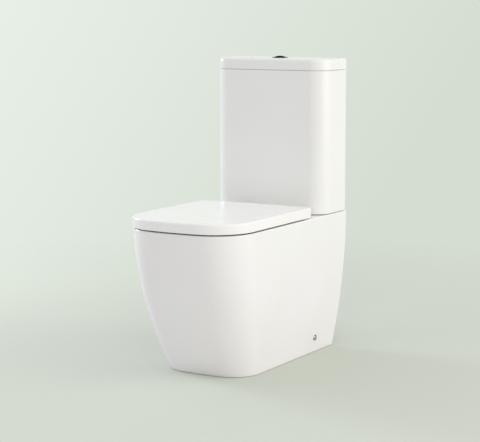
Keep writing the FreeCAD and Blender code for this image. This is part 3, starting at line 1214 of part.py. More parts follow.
def make_seat_ring():
    """Seat ring: hollow below, with arms back to knuckles inside the hinge posts."""
    back_edge = HINGE_FROM_WALL + RING_REAR_GAP
    outer = prism(seat_outline(RING_INSET, back_edge, RING_REAR_RADIUS, RING_BASE), RING_TOP)
    hole = prism(ring_hole_outline(0, RING_BASE - CUT_OVERRUN), RING_TOP + CUT_OVERRUN)
    ring = outer.cut(hole)
    ring = ring.makeFillet(RING_EDGE_RADIUS, edges_at(ring, RING_TOP, 0))
    ceiling = RING_TOP - RING_PLATE
    hollow = prism(seat_outline(RING_INSET + RING_WALL, back_edge + RING_WALL, RING_REAR_RADIUS - RING_WALL,
                                RING_BASE - CUT_OVERRUN), ceiling)
    inner_wall = prism(ring_hole_outline(RING_WALL, RING_BASE - CUT_OVERRUN), ceiling)
    ring = ring.cut(hollow.cut(inner_wall))
    parts = []
    bores = []
    for side in SIDES:
        near = INNER_KNUCKLE_X - RING_KNUCKLE_LENGTH
        parts.append(side_block(side, near, INNER_KNUCKLE_X, HINGE_FROM_WALL, HINGE_FROM_WALL + ARM_REACH,
                                RING_TOP - ARM_DROP - ARM_HEIGHT, RING_TOP - ARM_DROP))
        parts.append(hinge_axle(HINGE_KNUCKLE_RADIUS, near, RING_KNUCKLE_LENGTH, side))
        radius = DAMPER_RADIUS + THREAD_GAP if side < 0 else HINGE_PIN_RADIUS + PIN_GAP
        bores.append(hinge_axle(radius, near - CUT_OVERRUN, RING_KNUCKLE_LENGTH + 2 * CUT_OVERRUN, side))
    for x, from_wall in ring_bumper_places():
        parts.append(bumper_block(x, from_wall, RING_BASE, ceiling))
        bores.append(rod(RING_BUMPER_STEM_RADIUS + THREAD_GAP, x, from_wall,
                         RING_BASE - CUT_OVERRUN, RING_BASE + RING_BUMPER_STEM + THREAD_GAP))
    return ring.fuse(parts).cut(bores).removeSplitter()


def bumper_places(side_insets, ahead_of_hinge, from_front):
    """A pair of places behind and a pair in front, from the body's edges."""
    places = []
    for side in SIDES:
        rows = (HINGE_FROM_WALL + ahead_of_hinge, OVERALL_LENGTH - from_front)
        for inset, from_wall in zip(side_insets, rows):
            places.append((side * (BODY_WIDTH / 2 - inset), from_wall))
    return places


def ring_bumper_places():
    return bumper_places(RING_BUMPER_SIDE_INSETS, RING_BUMPER_AHEAD_OF_HINGE, RING_BUMPER_FROM_FRONT)


def bumper_block(x, from_wall, low, high):
    """An upright oblong with round ends, long from front to back."""
    radius = RING_BUMPER_WIDTH / 2
    half = RING_BUMPER_LENGTH / 2 - radius
    body = block(x - radius, x + radius, from_wall - half, from_wall + half, low, high)
    ends = [rod(radius, x, from_wall - half, low, high), rod(radius, x, from_wall + half, low, high)]
    return body.fuse(ends).removeSplitter()


def make_ring_bumpers():
    """Soft pads under the ring, each with a stem pressed into its boss."""
    bumpers = []
    for x, from_wall in ring_bumper_places():
        pad = bumper_block(x, from_wall, RIM_HEIGHT, RING_BASE)
        stem = rod(RING_BUMPER_STEM_RADIUS, x, from_wall, RING_BASE, RING_BASE + RING_BUMPER_STEM)
        bumpers.append(pad.fuse(stem).removeSplitter())
    return group(bumpers)


def make_lid_bumpers():
    """Thin round pads under the lid that rest on the ring."""
    pads = []
    places = bumper_places(LID_BUMPER_SIDE_INSETS, LID_BUMPER_AHEAD_OF_HINGE, LID_BUMPER_FROM_FRONT)
    for x, from_wall in places:
        pads.append(rod(LID_BUMPER_RADIUS, x, from_wall, RING_TOP, SEAT_LID_TOP - SEAT_LID_PLATE))
    return group(pads)


def make_hinge_posts():
    """Posts on the deck, each with a barrel on the hinge axis."""
    posts = []
    for side in SIDES:
        foot = rod(POST_FOOT_RADIUS, side * POST_X, POST_FROM_WALL, RIM_HEIGHT, HINGE_Z)
        barrel = hinge_axle(HINGE_BARREL_RADIUS, POST_X - HINGE_BARREL_LENGTH / 2, HINGE_BARREL_LENGTH, side)
        pin_start = POST_X - HINGE_BARREL_LENGTH
        pin_bore = hinge_axle(HINGE_PIN_RADIUS + PIN_GAP, pin_start, 2 * HINGE_BARREL_LENGTH, side)
        stud_bore = rod(STUD_RADIUS + THREAD_GAP, side * POST_X, POST_FROM_WALL,
                        RIM_HEIGHT - CUT_OVERRUN, RIM_HEIGHT + STUD_RISE)
        posts.append(joined([foot, barrel]).cut([pin_bore, stud_bore]))
    return group(posts)


def make_hinge_pins():
    """Steel pins: through the ring's knuckle, the post and the lid's knuckle, or into a damper."""
    left_start = OUTER_KNUCKLE_X + LID_KNUCKLE_LENGTH
    left_end = INNER_KNUCKLE_X - DAMPER_PIN_DEPTH
    left = axle(HINGE_PIN_RADIUS, -left_start, -left_end, HINGE_FROM_WALL, HINGE_Z)
    right_start = INNER_KNUCKLE_X - RING_KNUCKLE_LENGTH
    right = axle(HINGE_PIN_RADIUS, right_start, OUTER_KNUCKLE_X + DAMPER_PIN_DEPTH, HINGE_FROM_WALL, HINGE_Z)
    return group([left, right])


def make_ring_damper():
    """Soft-close cartridge in the ring's left knuckle: a cup that turns on the end of the pin."""
    start = INNER_KNUCKLE_X - DAMPER_LENGTH
    cup = hinge_axle(DAMPER_RADIUS, start, DAMPER_LENGTH, -1)
    return cup.cut(hinge_axle(HINGE_PIN_RADIUS + PIN_GAP, INNER_KNUCKLE_X - DAMPER_PIN_DEPTH - RUNNING_GAP,
                              DAMPER_PIN_DEPTH + RUNNING_GAP + CUT_OVERRUN, -1))


def make_lid_damper():
    """Soft-close cartridge in the lid's right knuckle."""
    cup = hinge_axle(DAMPER_RADIUS, OUTER_KNUCKLE_X, DAMPER_LENGTH, 1)
    return cup.cut(hinge_axle(HINGE_PIN_RADIUS + PIN_GAP, OUTER_KNUCKLE_X - CUT_OVERRUN,
                              DAMPER_PIN_DEPTH + RUNNING_GAP + CUT_OVERRUN, 1))


def make_hinge_studs():
    end = DECK_UNDERSIDE - SEAT_WASHER_HEIGHT - SEAT_NUT_HEIGHT - STUD_SPARE
    top = RIM_HEIGHT + STUD_RISE
    return group([rod(STUD_RADIUS, side * POST_X, POST_FROM_WALL, end, top) for side in SIDES])


def make_hinge_sleeves():
    """Rubber sleeves that centre the studs in the deck's holes."""
    return group([pipe(SEAT_HOLE_RADIUS - THREAD_GAP, STUD_RADIUS + THREAD_GAP, side * POST_X, POST_FROM_WALL,
                       RIM_HEIGHT - SLEEVE_DROP, RIM_HEIGHT) for side in SIDES])


def make_hinge_washers():
    return group([pipe(SEAT_WASHER_RADIUS, STUD_RADIUS + THREAD_GAP, side * POST_X, POST_FROM_WALL,
                       DECK_UNDERSIDE - SEAT_WASHER_HEIGHT, DECK_UNDERSIDE) for side in SIDES])


def make_hinge_nuts():
    high = DECK_UNDERSIDE - SEAT_WASHER_HEIGHT
    low = high - SEAT_NUT_HEIGHT
    nuts = []
    for side in SIDES:
        bore = rod(STUD_RADIUS + THREAD_GAP, side * POST_X, POST_FROM_WALL, low - CUT_OVERRUN,
                   high + CUT_OVERRUN)
        nuts.append(hexagon(SEAT_NUT_RADIUS, side * POST_X, POST_FROM_WALL, low, high).cut(bore))
    return group(nuts)


PIECES = {
    "pan": make_pan,
    "pan_deck": make_pan_deck,
    "pan_bowl": make_pan_bowl,
    "pan_sump": make_pan_sump,
    "pan_trapway": make_pan_trapway,
    "pan_flush_duct": make_pan_flush_duct,
    "floor_brackets": make_floor_brackets,
    "side_fixing_sleeves": make_side_sleeves,
    "side_fixing_screws": make_side_screws,
    "side_fixing_caps": make_side_caps,
    "cistern_tank": make_cistern_tank,
    "cistern_lid": make_cistern_lid,
    "cistern_pads": make_cistern_pads,
    "button_housing": make_button_housing,
    "button_ring_nut": make_button_ring_nut,
    "full_flush_button": lambda: button_half(-1),
    "half_flush_button": lambda: button_half(1),
    "full_button_spring": lambda: button_spring(-1),
    "half_button_spring": lambda: button_spring(1),
    "flush_valve_base": make_flush_valve_base,
    "flush_valve_washer": make_flush_valve_washer,
    "flush_valve_backnut": make_flush_valve_backnut,
    "coupling_gasket": make_coupling_gasket,
    "flush_valve_tower": make_flush_tower,
    "flush_seal": make_flush_seal,
    "overflow_tube": make_overflow_tube,
    "full_flush_plunger": lambda: plunger(-1),
    "half_flush_plunger": lambda: plunger(1),
    "coupling_bolts": make_coupling_bolts,
    "coupling_rubber_washers": make_coupling_rubber_washers,
    "coupling_steel_washers": make_coupling_steel_washers,
    "coupling_wing_nuts": make_coupling_wing_nuts,
    "inlet_washers": make_inlet_washers,
    "inlet_backnuts": make_inlet_backnuts,
    "fill_valve_shank": make_fill_valve_shank,
    "fill_valve_riser": make_fill_valve_riser,
    "fill_valve_head": make_fill_valve_head,
    "float_lever_pin": make_lever_pin,
    "fill_float": make_fill_float,
    "float_link": make_float_link,
    "float_lever": make_float_lever,
    "blanking_plug": make_blanking_plug,
    "seat_lid": make_seat_lid,
    "seat_ring": make_seat_ring,
    "ring_bumpers": make_ring_bumpers,
    "lid_bumpers": make_lid_bumpers,
    "hinge_posts": make_hinge_posts,
    "hinge_pins": make_hinge_pins,
    "ring_damper": make_ring_damper,
    "lid_damper": make_lid_damper,
    "hinge_studs": make_hinge_studs,
    "hinge_sleeves": make_hinge_sleeves,
    "hinge_washers": make_hinge_washers,
    "hinge_nuts": make_hinge_nuts,
}

os.makedirs("parts", exist_ok=True)
for name, make in PIECES.items():
    shape = make()
    shape.exportStep("parts/" + name + ".step")
    box = shape.BoundBox
    print(name, len(shape.Solids), "solids", shape.isValid(), round(shape.Volume / 1000, 2), "cm3",
          [round(value, 1) for value in (box.XMin, box.XMax, box.YMin, box.YMax, box.ZMin, box.ZMax)])
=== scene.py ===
# %% [markdown]
# # A close-coupled toilet
# The toilet has a pan that stands back to the wall, a cistern on its deck and a slim seat with a
# soft-close lid. Its CAD model comes in as the frame: every part is already at its place, with metres as
# the unit, +Z up, the floor at z = 0 and the front towards -Y. This file dresses that frame. The large
# china and plastic forms are made again with clean rows of faces, because gloss shows every flaw in a
# surface, and the small parts keep their CAD meshes with smooth shading.

import json
import math
from collections import namedtuple

import bmesh
import bpy
from mathutils import Matrix, Vector

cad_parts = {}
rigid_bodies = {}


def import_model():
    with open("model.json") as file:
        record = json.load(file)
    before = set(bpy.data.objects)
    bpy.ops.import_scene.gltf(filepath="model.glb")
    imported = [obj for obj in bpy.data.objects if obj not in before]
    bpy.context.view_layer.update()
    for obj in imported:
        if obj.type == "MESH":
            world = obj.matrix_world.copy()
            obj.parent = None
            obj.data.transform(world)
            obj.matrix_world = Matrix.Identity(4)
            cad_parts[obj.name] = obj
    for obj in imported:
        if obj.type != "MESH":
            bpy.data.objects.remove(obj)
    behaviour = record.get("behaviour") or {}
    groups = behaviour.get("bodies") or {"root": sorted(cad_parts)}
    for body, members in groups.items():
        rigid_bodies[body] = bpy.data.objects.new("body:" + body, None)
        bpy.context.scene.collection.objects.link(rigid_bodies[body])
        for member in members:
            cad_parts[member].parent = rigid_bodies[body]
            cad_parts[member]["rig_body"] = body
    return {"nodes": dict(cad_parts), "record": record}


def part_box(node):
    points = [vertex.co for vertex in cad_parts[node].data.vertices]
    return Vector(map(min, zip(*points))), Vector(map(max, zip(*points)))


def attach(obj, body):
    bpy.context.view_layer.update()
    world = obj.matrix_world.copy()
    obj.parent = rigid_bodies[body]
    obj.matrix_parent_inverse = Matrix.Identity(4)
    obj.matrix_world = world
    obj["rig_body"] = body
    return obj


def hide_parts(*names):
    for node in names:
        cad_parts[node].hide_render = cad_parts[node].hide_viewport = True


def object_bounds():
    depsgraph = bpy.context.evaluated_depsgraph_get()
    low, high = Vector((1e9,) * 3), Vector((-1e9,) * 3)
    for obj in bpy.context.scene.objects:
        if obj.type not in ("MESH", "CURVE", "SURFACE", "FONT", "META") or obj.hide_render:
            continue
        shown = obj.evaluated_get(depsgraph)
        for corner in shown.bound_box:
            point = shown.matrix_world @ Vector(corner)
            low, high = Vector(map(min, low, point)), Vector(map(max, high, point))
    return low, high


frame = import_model()
cad_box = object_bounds()
nodes = frame["nodes"]
scene = bpy.context.scene


def in_mm(*lengths):
    """Lengths in metres as millimetres to print."""
    return [round(length * 1000, 1) for length in lengths]


print("CAD parts:", len(nodes), "- box in mm:", in_mm(*cad_box[0], *cad_box[1]))

# %% [markdown]
# ## Shader maths as plain expressions
# A procedural finish is a small sum: some noise, scaled, added to a colour or a roughness. Node trees
# hide that sum in wires. A thin wrapper round a socket lets the finish be written as an expression
# instead, so that `0.15 + smears * 0.06` adds the Math nodes it needs. Colours keep to Mix nodes, since
# a Math node would turn them grey.

# %% A socket that takes part in sums
class Value:
    """A number that varies over a surface."""

    def __init__(self, recipe, socket):
        self.recipe = recipe
        self.socket = socket

    def _math(self, operation, first, second):
        return self.recipe.value("ShaderNodeMath", {"operation": operation}, {0: first, 1: second})

    def __add__(self, other):
        return self._math("ADD", self, other)

    __radd__ = __add__

    def __sub__(self, other):
        return self._math("SUBTRACT", self, other)

    def __rsub__(self, other):
        return self._math("SUBTRACT", other, self)

    def __mul__(self, other):
        return self._math("MULTIPLY", self, other)

    __rmul__ = __mul__


# %% A recipe: one material and its nodes
class Recipe:
    """One material under construction, with its Principled shader ready."""

    def __init__(self, name, **constants):
        self.material = bpy.data.materials.new(name)
        self.material.use_nodes = True
        self.tree = self.material.node_tree
        self.shader = self.tree.nodes["Principled BSDF"]
        for socket, constant in constants.items():
            self.shader.inputs[socket.replace("_", " ")].default_value = constant

    def node(self, kind, settings=None, inputs=None):
        """Any node: its settings first, then a value or a link for each socket named or numbered."""
        node = self.tree.nodes.new(kind)
        for setting, choice in (settings or {}).items():
            setattr(node, setting, choice)
        for name, source in (inputs or {}).items():
            socket = node.inputs[name]
            if isinstance(source, Value):
                self.tree.links.new(source.socket, socket)
            elif isinstance(source, bpy.types.NodeSocket):
                self.tree.links.new(source, socket)
            else:
                socket.default_value = source
        return node

    def value(self, kind, settings=None, inputs=None, output=0):
        """A node's output as a number that takes part in sums."""
        return Value(self, self.node(kind, settings, inputs).outputs[output])

    def place(self):
        """Where a point of the object is, in metres."""
        return self.node("ShaderNodeTexCoord").outputs["Object"]

    def noise(self, scale, detail=2.0, roughness=0.5, stretch=(1, 1, 1)):
        """Soft noise from 0 to 1; scale is in features per metre."""
        mapping = self.node("ShaderNodeMapping", {}, {"Vector": self.place(), "Scale": stretch})
        return self.value("ShaderNodeTexNoise", {}, {
            "Vector": mapping.outputs[0], "Scale": scale, "Detail": detail, "Roughness": roughness})

    def window(self, value, low, high):
        """Stretches a band of a value to run from 0 to 1."""
        return self.value("ShaderNodeMapRange", {}, {0: value, 1: low, 2: high, 3: 0.0, 4: 1.0})

    def blend(self, share, first, second):
        """A colour between two colours."""
        node = self.node("ShaderNodeMix", {"data_type": "RGBA"}, {0: share, 6: first, 7: second})
        return node.outputs[2]

    def feed(self, socket, source):
        """Drives one of the shader's sockets with a number or a colour."""
        link = source.socket if isinstance(source, Value) else source
        self.tree.links.new(link, self.shader.inputs[socket])

    def bump(self, height, distance, strength=1.0):
        """Relief whose full height is a distance in metres."""
        node = self.node("ShaderNodeBump", {}, {
            "Height": height, "Distance": distance, "Strength": strength})
        self.tree.links.new(node.outputs[0], self.shader.inputs["Normal"])


print("Shader helpers are ready")

# %% [markdown]
# ## Glazed china
# Sanitary china is white clay under a thick clear glaze. The glaze is never flat: it carries slow waves
# that bend reflections, a faint orange peel, and a body colour that drifts by a shade. The lesson here
# is restraint. Each effect is measured in hundredths, yet without them the pan looks like plastic.

# %% Make the glaze
CHINA_WHITE = (0.845, 0.845, 0.83, 1)
CHINA_WARM = (0.815, 0.81, 0.785, 1)


def glazed_china():
    recipe = Recipe("glazed china", IOR=1.5, Coat_Roughness=0.09, Coat_IOR=1.5)
    drift = recipe.window(recipe.noise(5.0, 3.0), 0.35, 0.7)
    specks = recipe.window(recipe.noise(900.0, 1.0), 0.74, 0.80)
    clay = recipe.blend(drift * 0.5 + specks * 0.35, CHINA_WHITE, CHINA_WARM)
    recipe.feed("Base Color", clay)
    smears = recipe.window(recipe.noise(22.0, 4.0, 0.6, (1, 1, 0.35)), 0.45, 0.75)
    recipe.feed("Roughness", 0.15 + smears * 0.06)
    recipe.feed("Coat Weight", 0.25 - smears * 0.1)
    waves = recipe.noise(14.0, 1.0)
    peel = recipe.noise(160.0, 1.0)
    recipe.bump(waves + peel * 0.05, 0.0005, 0.25)
    return recipe.material


finishes = {"glazed_china": glazed_china()}
print("Made:", list(finishes))

# %% [markdown]
# ## Seat plastic
# The seat and its lid are moulded in a dense white plastic, smooth like the china but a touch whiter and
# less of a mirror. Its surface has no glaze waves. What gives it away is a very fine haze in the gloss
# and the faint streaks that wiping leaves.

# %% Make the seat plastic
SEAT_WHITE = (0.87, 0.87, 0.86, 1)
SEAT_SHADE = (0.84, 0.84, 0.825, 1)


def seat_plastic():
    recipe = Recipe("seat plastic", IOR=1.49)
    drift = recipe.window(recipe.noise(7.0), 0.3, 0.7)
    recipe.feed("Base Color", recipe.blend(drift, SEAT_WHITE, SEAT_SHADE))
    wipes = recipe.window(recipe.noise(30.0, 3.0, 0.5, (0.4, 1, 1)), 0.3, 0.8)
    recipe.feed("Roughness", 0.25 + wipes * 0.025)
    recipe.bump(recipe.noise(1400.0, 1.0), 0.00001, 0.4)
    return recipe.material


finishes["seat_gloss_white"] = seat_plastic()
print("Made: seat plastic")

# %% [markdown]
# ## Metals
# Plated parts mirror the room, so their colour matters less than how blurred the mirror is. Polished
# chrome is sharp with a few greasy smudges; stainless steel keeps the fine rings of the lathe or the
# die. One function makes all of them, from a colour, a roughness and how strong the machining marks are.
# The dark plating of the push button also has a dark edge tint, or it would turn bright where it is seen
# at a low angle.

# %% Make the metals
def metal(name, colour, roughness, marks, edge_tint=(1, 1, 1, 1)):
    recipe = Recipe(name, Metallic=1.0, Specular_Tint=edge_tint)
    smudges = recipe.window(recipe.noise(120.0, 4.0, 0.6), 0.45, 0.75)
    darker = [channel * 0.86 for channel in colour[:3]] + [1]
    recipe.feed("Base Color", recipe.blend(smudges, colour, darker))
    lines = recipe.noise(900.0, 2.0, 0.5, (1, 1, 4))
    recipe.feed("Roughness", roughness + smudges * 0.08 + lines * (marks * 0.15))
    recipe.bump(lines, 0.00004, marks)
    return recipe.material


finishes["dark_chrome"] = metal("dark chrome", (0.03, 0.03, 0.033, 1), 0.12, 0.05, (0.2, 0.2, 0.22, 1))
finishes["bright_chrome"] = metal("bright chrome", (0.58, 0.58, 0.60, 1), 0.07, 0.05)
finishes["plain_steel"] = metal("plain steel", (0.50, 0.50, 0.51, 1), 0.26, 0.5)
finishes["nut_brass"] = metal("nut brass", (0.58, 0.41, 0.17, 1), 0.30, 0.4)
print("Made: four metals")

# %% [markdown]
# ## Rubber and moulded fittings
# Inside the cistern everything is rubber or injection moulding. Rubber is matt with a bloom of grey
# dust; mouldings show pale flow marks and a satin grain. Both are one recipe with different numbers: a
# base colour, a second colour that noise brings in, a roughness and a grain.

# %% Make the rubbers and mouldings
def moulded(name, colour, second, roughness, grain_depth, grain_scale):
    recipe = Recipe(name)
    flow = recipe.window(recipe.noise(40.0, 3.0, 0.6, (1, 1, 0.4)), 0.35, 0.75)
    recipe.feed("Base Color", recipe.blend(flow, colour, second))
    grain = recipe.noise(grain_scale, 2.0)
    recipe.feed("Roughness", roughness + grain * 0.12)
    recipe.bump(grain, grain_depth, 0.5)
    return recipe.material


MOULDED = {
    "black_rubber": ((0.03, 0.03, 0.03, 1), (0.055, 0.055, 0.055, 1), 0.6, 0.0001, 700),
    "bumper_rubber": ((0.62, 0.62, 0.6, 1), (0.55, 0.55, 0.53, 1), 0.5, 0.00005, 900),
    "white_moulding": ((0.74, 0.74, 0.71, 1), (0.68, 0.68, 0.64, 1), 0.38, 0.00004, 1200),
    "grey_moulding": ((0.17, 0.18, 0.20, 1), (0.22, 0.23, 0.25, 1), 0.36, 0.00004, 1200),
}
for name, looks in MOULDED.items():
    finishes[name] = moulded(name.replace("_", " "), *looks)
print("Made:", len(finishes), "finishes in all")

# %% [markdown]
# ## One outline for every form
# Seen from above, pan, cistern and seat are the same kind of shape: a gently crowned front, two round
# front corners, straight sides and a flat back. Only half of it has to be drawn, from the nose round to
# the middle of the back, because a mirror makes the rest. A single vertex is spun about the crown's
# centre, then about the corner's centre, and pushed back along the side. Every outline has the same
# number of steps, so that two of them always bridge with neat four-sided faces.

# %% Draw half an outline
Outline = namedtuple("Outline", "half_width front rear crown corner rear_corner back_moves")

SMALLEST_ROUND = 0.001
CROWN_STEPS = 12
CORNER_STEPS = 16
SIDE_STEPS = 8
REAR_STEPS = 5
BACK_STEPS = 9
HALF_STEPS = CROWN_STEPS + CORNER_STEPS + SIDE_STEPS + REAR_STEPS + BACK_STEPS


def turned(bm, vert, centre, angle, steps, axis=(0, 0, 1)):
    """Spins a vertex about an axis through a centre and returns its last copy."""
    made = bmesh.ops.spin(
        bm, geom=[vert], cent=centre, axis=axis, dvec=(0, 0, 0), angle=angle, steps=steps,
        use_merge=False, use_normal_flip=False, use_duplicate=False)
    return [item for item in made["geom_last"] if isinstance(item, bmesh.types.BMVert)][0]


def drawn_to(bm, vert, x, y, steps):
    """Extrudes a vertex in even steps to a place at the same height."""
    start = vert.co.copy()
    goal = Vector((x, y, start.z))
    for number in range(steps):
        vert = bmesh.ops.extrude_vert_indiv(bm, verts=[vert])["verts"][0]
        vert.co = start.lerp(goal, (number + 1) / steps)
    return vert


def half_outline(bm, form, inset, height):
    """The right half of an outline, drawn in by an inset; returns its edges."""
    known = set(bm.edges)
    half_width = form.half_width - inset
    front = form.front + inset
    rear = form.rear - inset * form.back_moves
    crown = form.crown - inset
    corner = form.corner - inset
    crown_y = front + crown
    corner_x = half_width - corner
    reach = math.sqrt((crown - corner) ** 2 - corner_x ** 2)
    lean = math.atan2(corner_x, reach)
    vert = bm.verts.new((0, front, height))
    vert = turned(bm, vert, (0, crown_y, height), lean, CROWN_STEPS)
    vert = turned(bm, vert, (corner_x, crown_y - reach, height), math.pi / 2 - lean, CORNER_STEPS)
    if form.rear_corner > 0:
        rear_corner = max(form.rear_corner - inset * form.back_moves, SMALLEST_ROUND)
        vert = drawn_to(bm, vert, half_width, rear - rear_corner, SIDE_STEPS)
        centre = (half_width - rear_corner, rear - rear_corner, height)
        vert = turned(bm, vert, centre, math.pi / 2, REAR_STEPS)
    else:
        vert = drawn_to(bm, vert, half_width, rear, SIDE_STEPS + REAR_STEPS)
    vert = drawn_to(bm, vert, 0, rear, BACK_STEPS)
    vert.co.x = 0
    return [edge for edge in bm.edges if edge not in known]


def half_circle(bm, radius, centre_y, height):
    """The right half of a circle on the middle plane, with as many steps as an outline."""
    known = set(bm.edges)
    vert = bm.verts.new((0, centre_y - radius, height))
    vert = turned(bm, vert, (0, centre_y, height), math.pi, HALF_STEPS)
    vert.co.x = 0
    return [edge for edge in bm.edges if edge not in known]


print("Each half outline has", HALF_STEPS, "steps")

# %% [markdown]
# ## From outlines to a closed skin
# A skin is a stack of outlines bridged one to the next, with more of them where an edge is round. Flat
# plates, such as a top or a floor, are filled between the open loops that lie at one height, which also
# leaves a hole where a second loop is. Half a skin is mirrored across the middle, its seam is merged,
# and its faces are turned outwards.

# %% Stack, mirror and fill
MERGE_DISTANCE = 0.000005


def quarter(start, end, leaves_upright, steps=6):
    """Inset and height pairs along a quarter round, without its first pair."""
    pairs = []
    for number in range(1, steps + 1):
        angle = math.pi / 2 * number / steps
        slow = 1 - math.cos(angle)
        fast = math.sin(angle)
        inward, upward = (slow, fast) if leaves_upright else (fast, slow)
        pairs.append((start[0] + (end[0] - start[0]) * inward, start[1] + (end[1] - start[1]) * upward))
    return pairs


def even_pairs(inset, low, high, steps):
    """Inset and height pairs up a plain wall, without its first pair."""
    return [(inset, low + (high - low) * number / steps) for number in range(1, steps + 1)]


def add_skin(bm, form, pairs):
    """Bridges outlines of one form, one for each inset and height."""
    rings = [half_outline(bm, form, inset, height) for inset, height in pairs]
    bridge_all(bm, rings)


def bridge_all(bm, rings):
    """Joins each outline of a stack to the next with faces."""
    for lower, upper in zip(rings, rings[1:]):
        bmesh.ops.bridge_loops(bm, edges=lower + upper)


def mirror_whole(bm):
    """Adds the left half and closes the seam in the middle."""
    bmesh.ops.mirror(bm, geom=bm.verts[:] + bm.edges[:] + bm.faces[:], matrix=Matrix.Identity(4),
                     merge_dist=MERGE_DISTANCE, axis="X")
    bmesh.ops.remove_doubles(bm, verts=bm.verts[:], dist=MERGE_DISTANCE)


def fill_flat(bm, height):
    """Fills the plate between all open loops that lie at one height."""
    edges = [edge for edge in bm.edges if edge.is_boundary
             and all(abs(vert.co.z - height) < MERGE_DISTANCE for vert in edge.verts)]
    bmesh.ops.triangle_fill(bm, edges=edges, use_beauty=True, use_dissolve=False, normal=(0, 0, 1))


def finished_mesh(bm, name):
    """Turns a closed bmesh outwards and makes it a mesh."""
    bmesh.ops.recalc_face_normals(bm, faces=bm.faces[:])
    open_edges = sum(1 for edge in bm.edges if not edge.is_manifold)
    mesh = bpy.data.meshes.new(name)
    bm.to_mesh(mesh)
    bm.free()
    print(name, "-", len(mesh.polygons), "faces,", open_edges, "open edges")
    return mesh


# %% [markdown]
# ## Placing a piece
# Each new piece takes the place of one or more CAD parts, rides on the same body, so that it moves with
# the joints, and takes the finish of the record's material slot. Weighted normals keep the flat plates
# truly flat in a reflection, while the round edges stay smooth. Trim is the same without a CAD part to
# replace.

# %% Place a piece on its body
SHARP_ANGLE = math.radians(35)


def shaded(mesh, name, slot):
    """Makes an object from a mesh, with its finish and with crisp edges where it turns sharply."""
    piece = bpy.data.objects.new(name, mesh)
    scene.collection.objects.link(piece)
    mesh.materials.append(finishes[slot])
    mesh.shade_smooth()
    mesh.set_sharp_from_angle(angle=SHARP_ANGLE)
    return piece


def placed(mesh, name, replaced, slot):
    """Puts an object made from a mesh in place of CAD parts."""
    piece = shaded(mesh, name, slot)
    weighted = piece.modifiers.new("even normals", "WEIGHTED_NORMAL")
    weighted.keep_sharp = True
    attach(piece, nodes[replaced[0]]["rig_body"])
    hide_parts(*replaced)


def trimmed(mesh, name, body, slot):
    """A piece of trim that replaces no CAD part."""
    piece = shaded(mesh, name, slot)
    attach(piece, body)


def cut_away(mesh, cutter):
    """Subtracts a closed mesh from another and returns the result."""
    body = bpy.data.objects.new("body to cut", mesh)
    tool = bpy.data.objects.new("cutter", cutter)
    scene.collection.objects.link(body)
    scene.collection.objects.link(tool)
    boolean = body.modifiers.new("cut", "BOOLEAN")
    boolean.operation = "DIFFERENCE"
    boolean.solver = "EXACT"
    boolean.object = tool
    result = bpy.data.meshes.new_from_object(body.evaluated_get(bpy.context.evaluated_depsgraph_get()))
    bpy.data.objects.remove(body)
    bpy.data.objects.remove(tool)
    print("cut leaves", len(result.polygons), "faces")
    return result


def add_rod(bm, radius, x, y, low, high, steps=48):
    """An upright round bar inside a bmesh."""
    bmesh.ops.create_cone(
        bm, cap_ends=True, cap_tris=False, segments=steps, radius1=radius, radius2=radius, depth=high - low,
        matrix=Matrix.Translation((x, y, (low + high) / 2)))


def add_axle(bm, radius, x_low, x_high, y, z, steps=40):
    """A round bar along X inside a bmesh."""
    turn_to_x = Matrix.Rotation(math.pi / 2, 4, "Y")
    bmesh.ops.create_cone(
        bm, cap_ends=True, cap_tris=False, segments=steps, radius1=radius, radius2=radius,
        depth=x_high - x_low, matrix=Matrix.Translation(((x_low + x_high) / 2, y, z)) @ turn_to_x)


def add_block(bm, low, high):
    """A box between two corners inside a bmesh; returns its vertices."""
    size = Matrix.Diagonal((*[b - a for a, b in zip(low, high)], 1))
    middle = Matrix.Translation([(a + b) / 2 for a, b in zip(low, high)])
    return bmesh.ops.create_cube(bm, size=1, matrix=middle @ size)["verts"]


print("Piece helpers are ready")

# %% [markdown]
# ## Reading sizes off the frame
# Nothing is guessed twice. The wall, the rim and the widths come from the CAD parts' boxes, and the
# pan's foot and the bowl's mouth from the vertices of the CAD meshes at one height.

# %% Measure the frame
SAME_HEIGHT = 0.0002


def spots_at(node, height, low, high):
    """A CAD part's vertices at one height, between two corners in plan."""
    spots = [vert.co for vert in nodes[node].data.vertices if abs(vert.co.z - height) < SAME_HEIGHT]
    return [spot for spot in spots if low[0] < spot.x < high[0] and low[1] < spot.y < high[1]]


def middle_of(node):
    """The middle of a CAD part's box."""
    low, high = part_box(node)
    return (low + high) / 2


deck_low, deck_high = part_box("pan_deck")
WALL = cad_box[1].y
RIM = deck_high.z
DECK = 0.018
DECK_UNDER = RIM - DECK
RIM_HALF = deck_high.x
RIM_FRONT = deck_low.y
foot_spots = spots_at("pan", 0.0, (-1, -1), (1, 1))
FOOT_HALF = max(spot.x for spot in foot_spots)
FOOT_FRONT = min(spot.y for spot in foot_spots)
print("in mm: rim's height and foot's half width", in_mm(RIM, FOOT_HALF))

# %% [markdown]
# ## The pan's outer casting
# The skirt falls from the rim to a smaller foot in one slow curve, faster in front than at the sides. In
# clay this comes from one mould, so it is drawn as one stack of outlines from foot to rim, each a little
# larger, with a small undercut at the floor and a small round where skirt and deck meet. The mouth of
# the bowl is a second stack that goes down through the deck. The hollow behind the skirt, open to the
# wall and the floor, is a third stack that is cut away.

# %% Shape the skirt and deck
PAN_WALL = 0.011
RIM_ROUND = 0.004
FOOT_INSET = 0.0045
FOOT_RISE = 0.003
RIM_CORNER = 0.115
FOOT_CORNER = 0.080
PAN_CROWN = 0.7
FRONT_LINEAR_SHARE = 0.37
PAN_LEVELS = 30
MOUTH_ROUND = 0.0055
MOUTH_CROWN_SHARE = 3.6
MOUTH_CORNER_SHARE = 0.75
MOUTH_SIDES = (0, -0.20), (0.15, 0.02)
MOUTH_FRONT = (-0.012, -0.29), (0.012, 0)
MOUTH_REAR = (-0.04, 0), (0.04, 0.09)


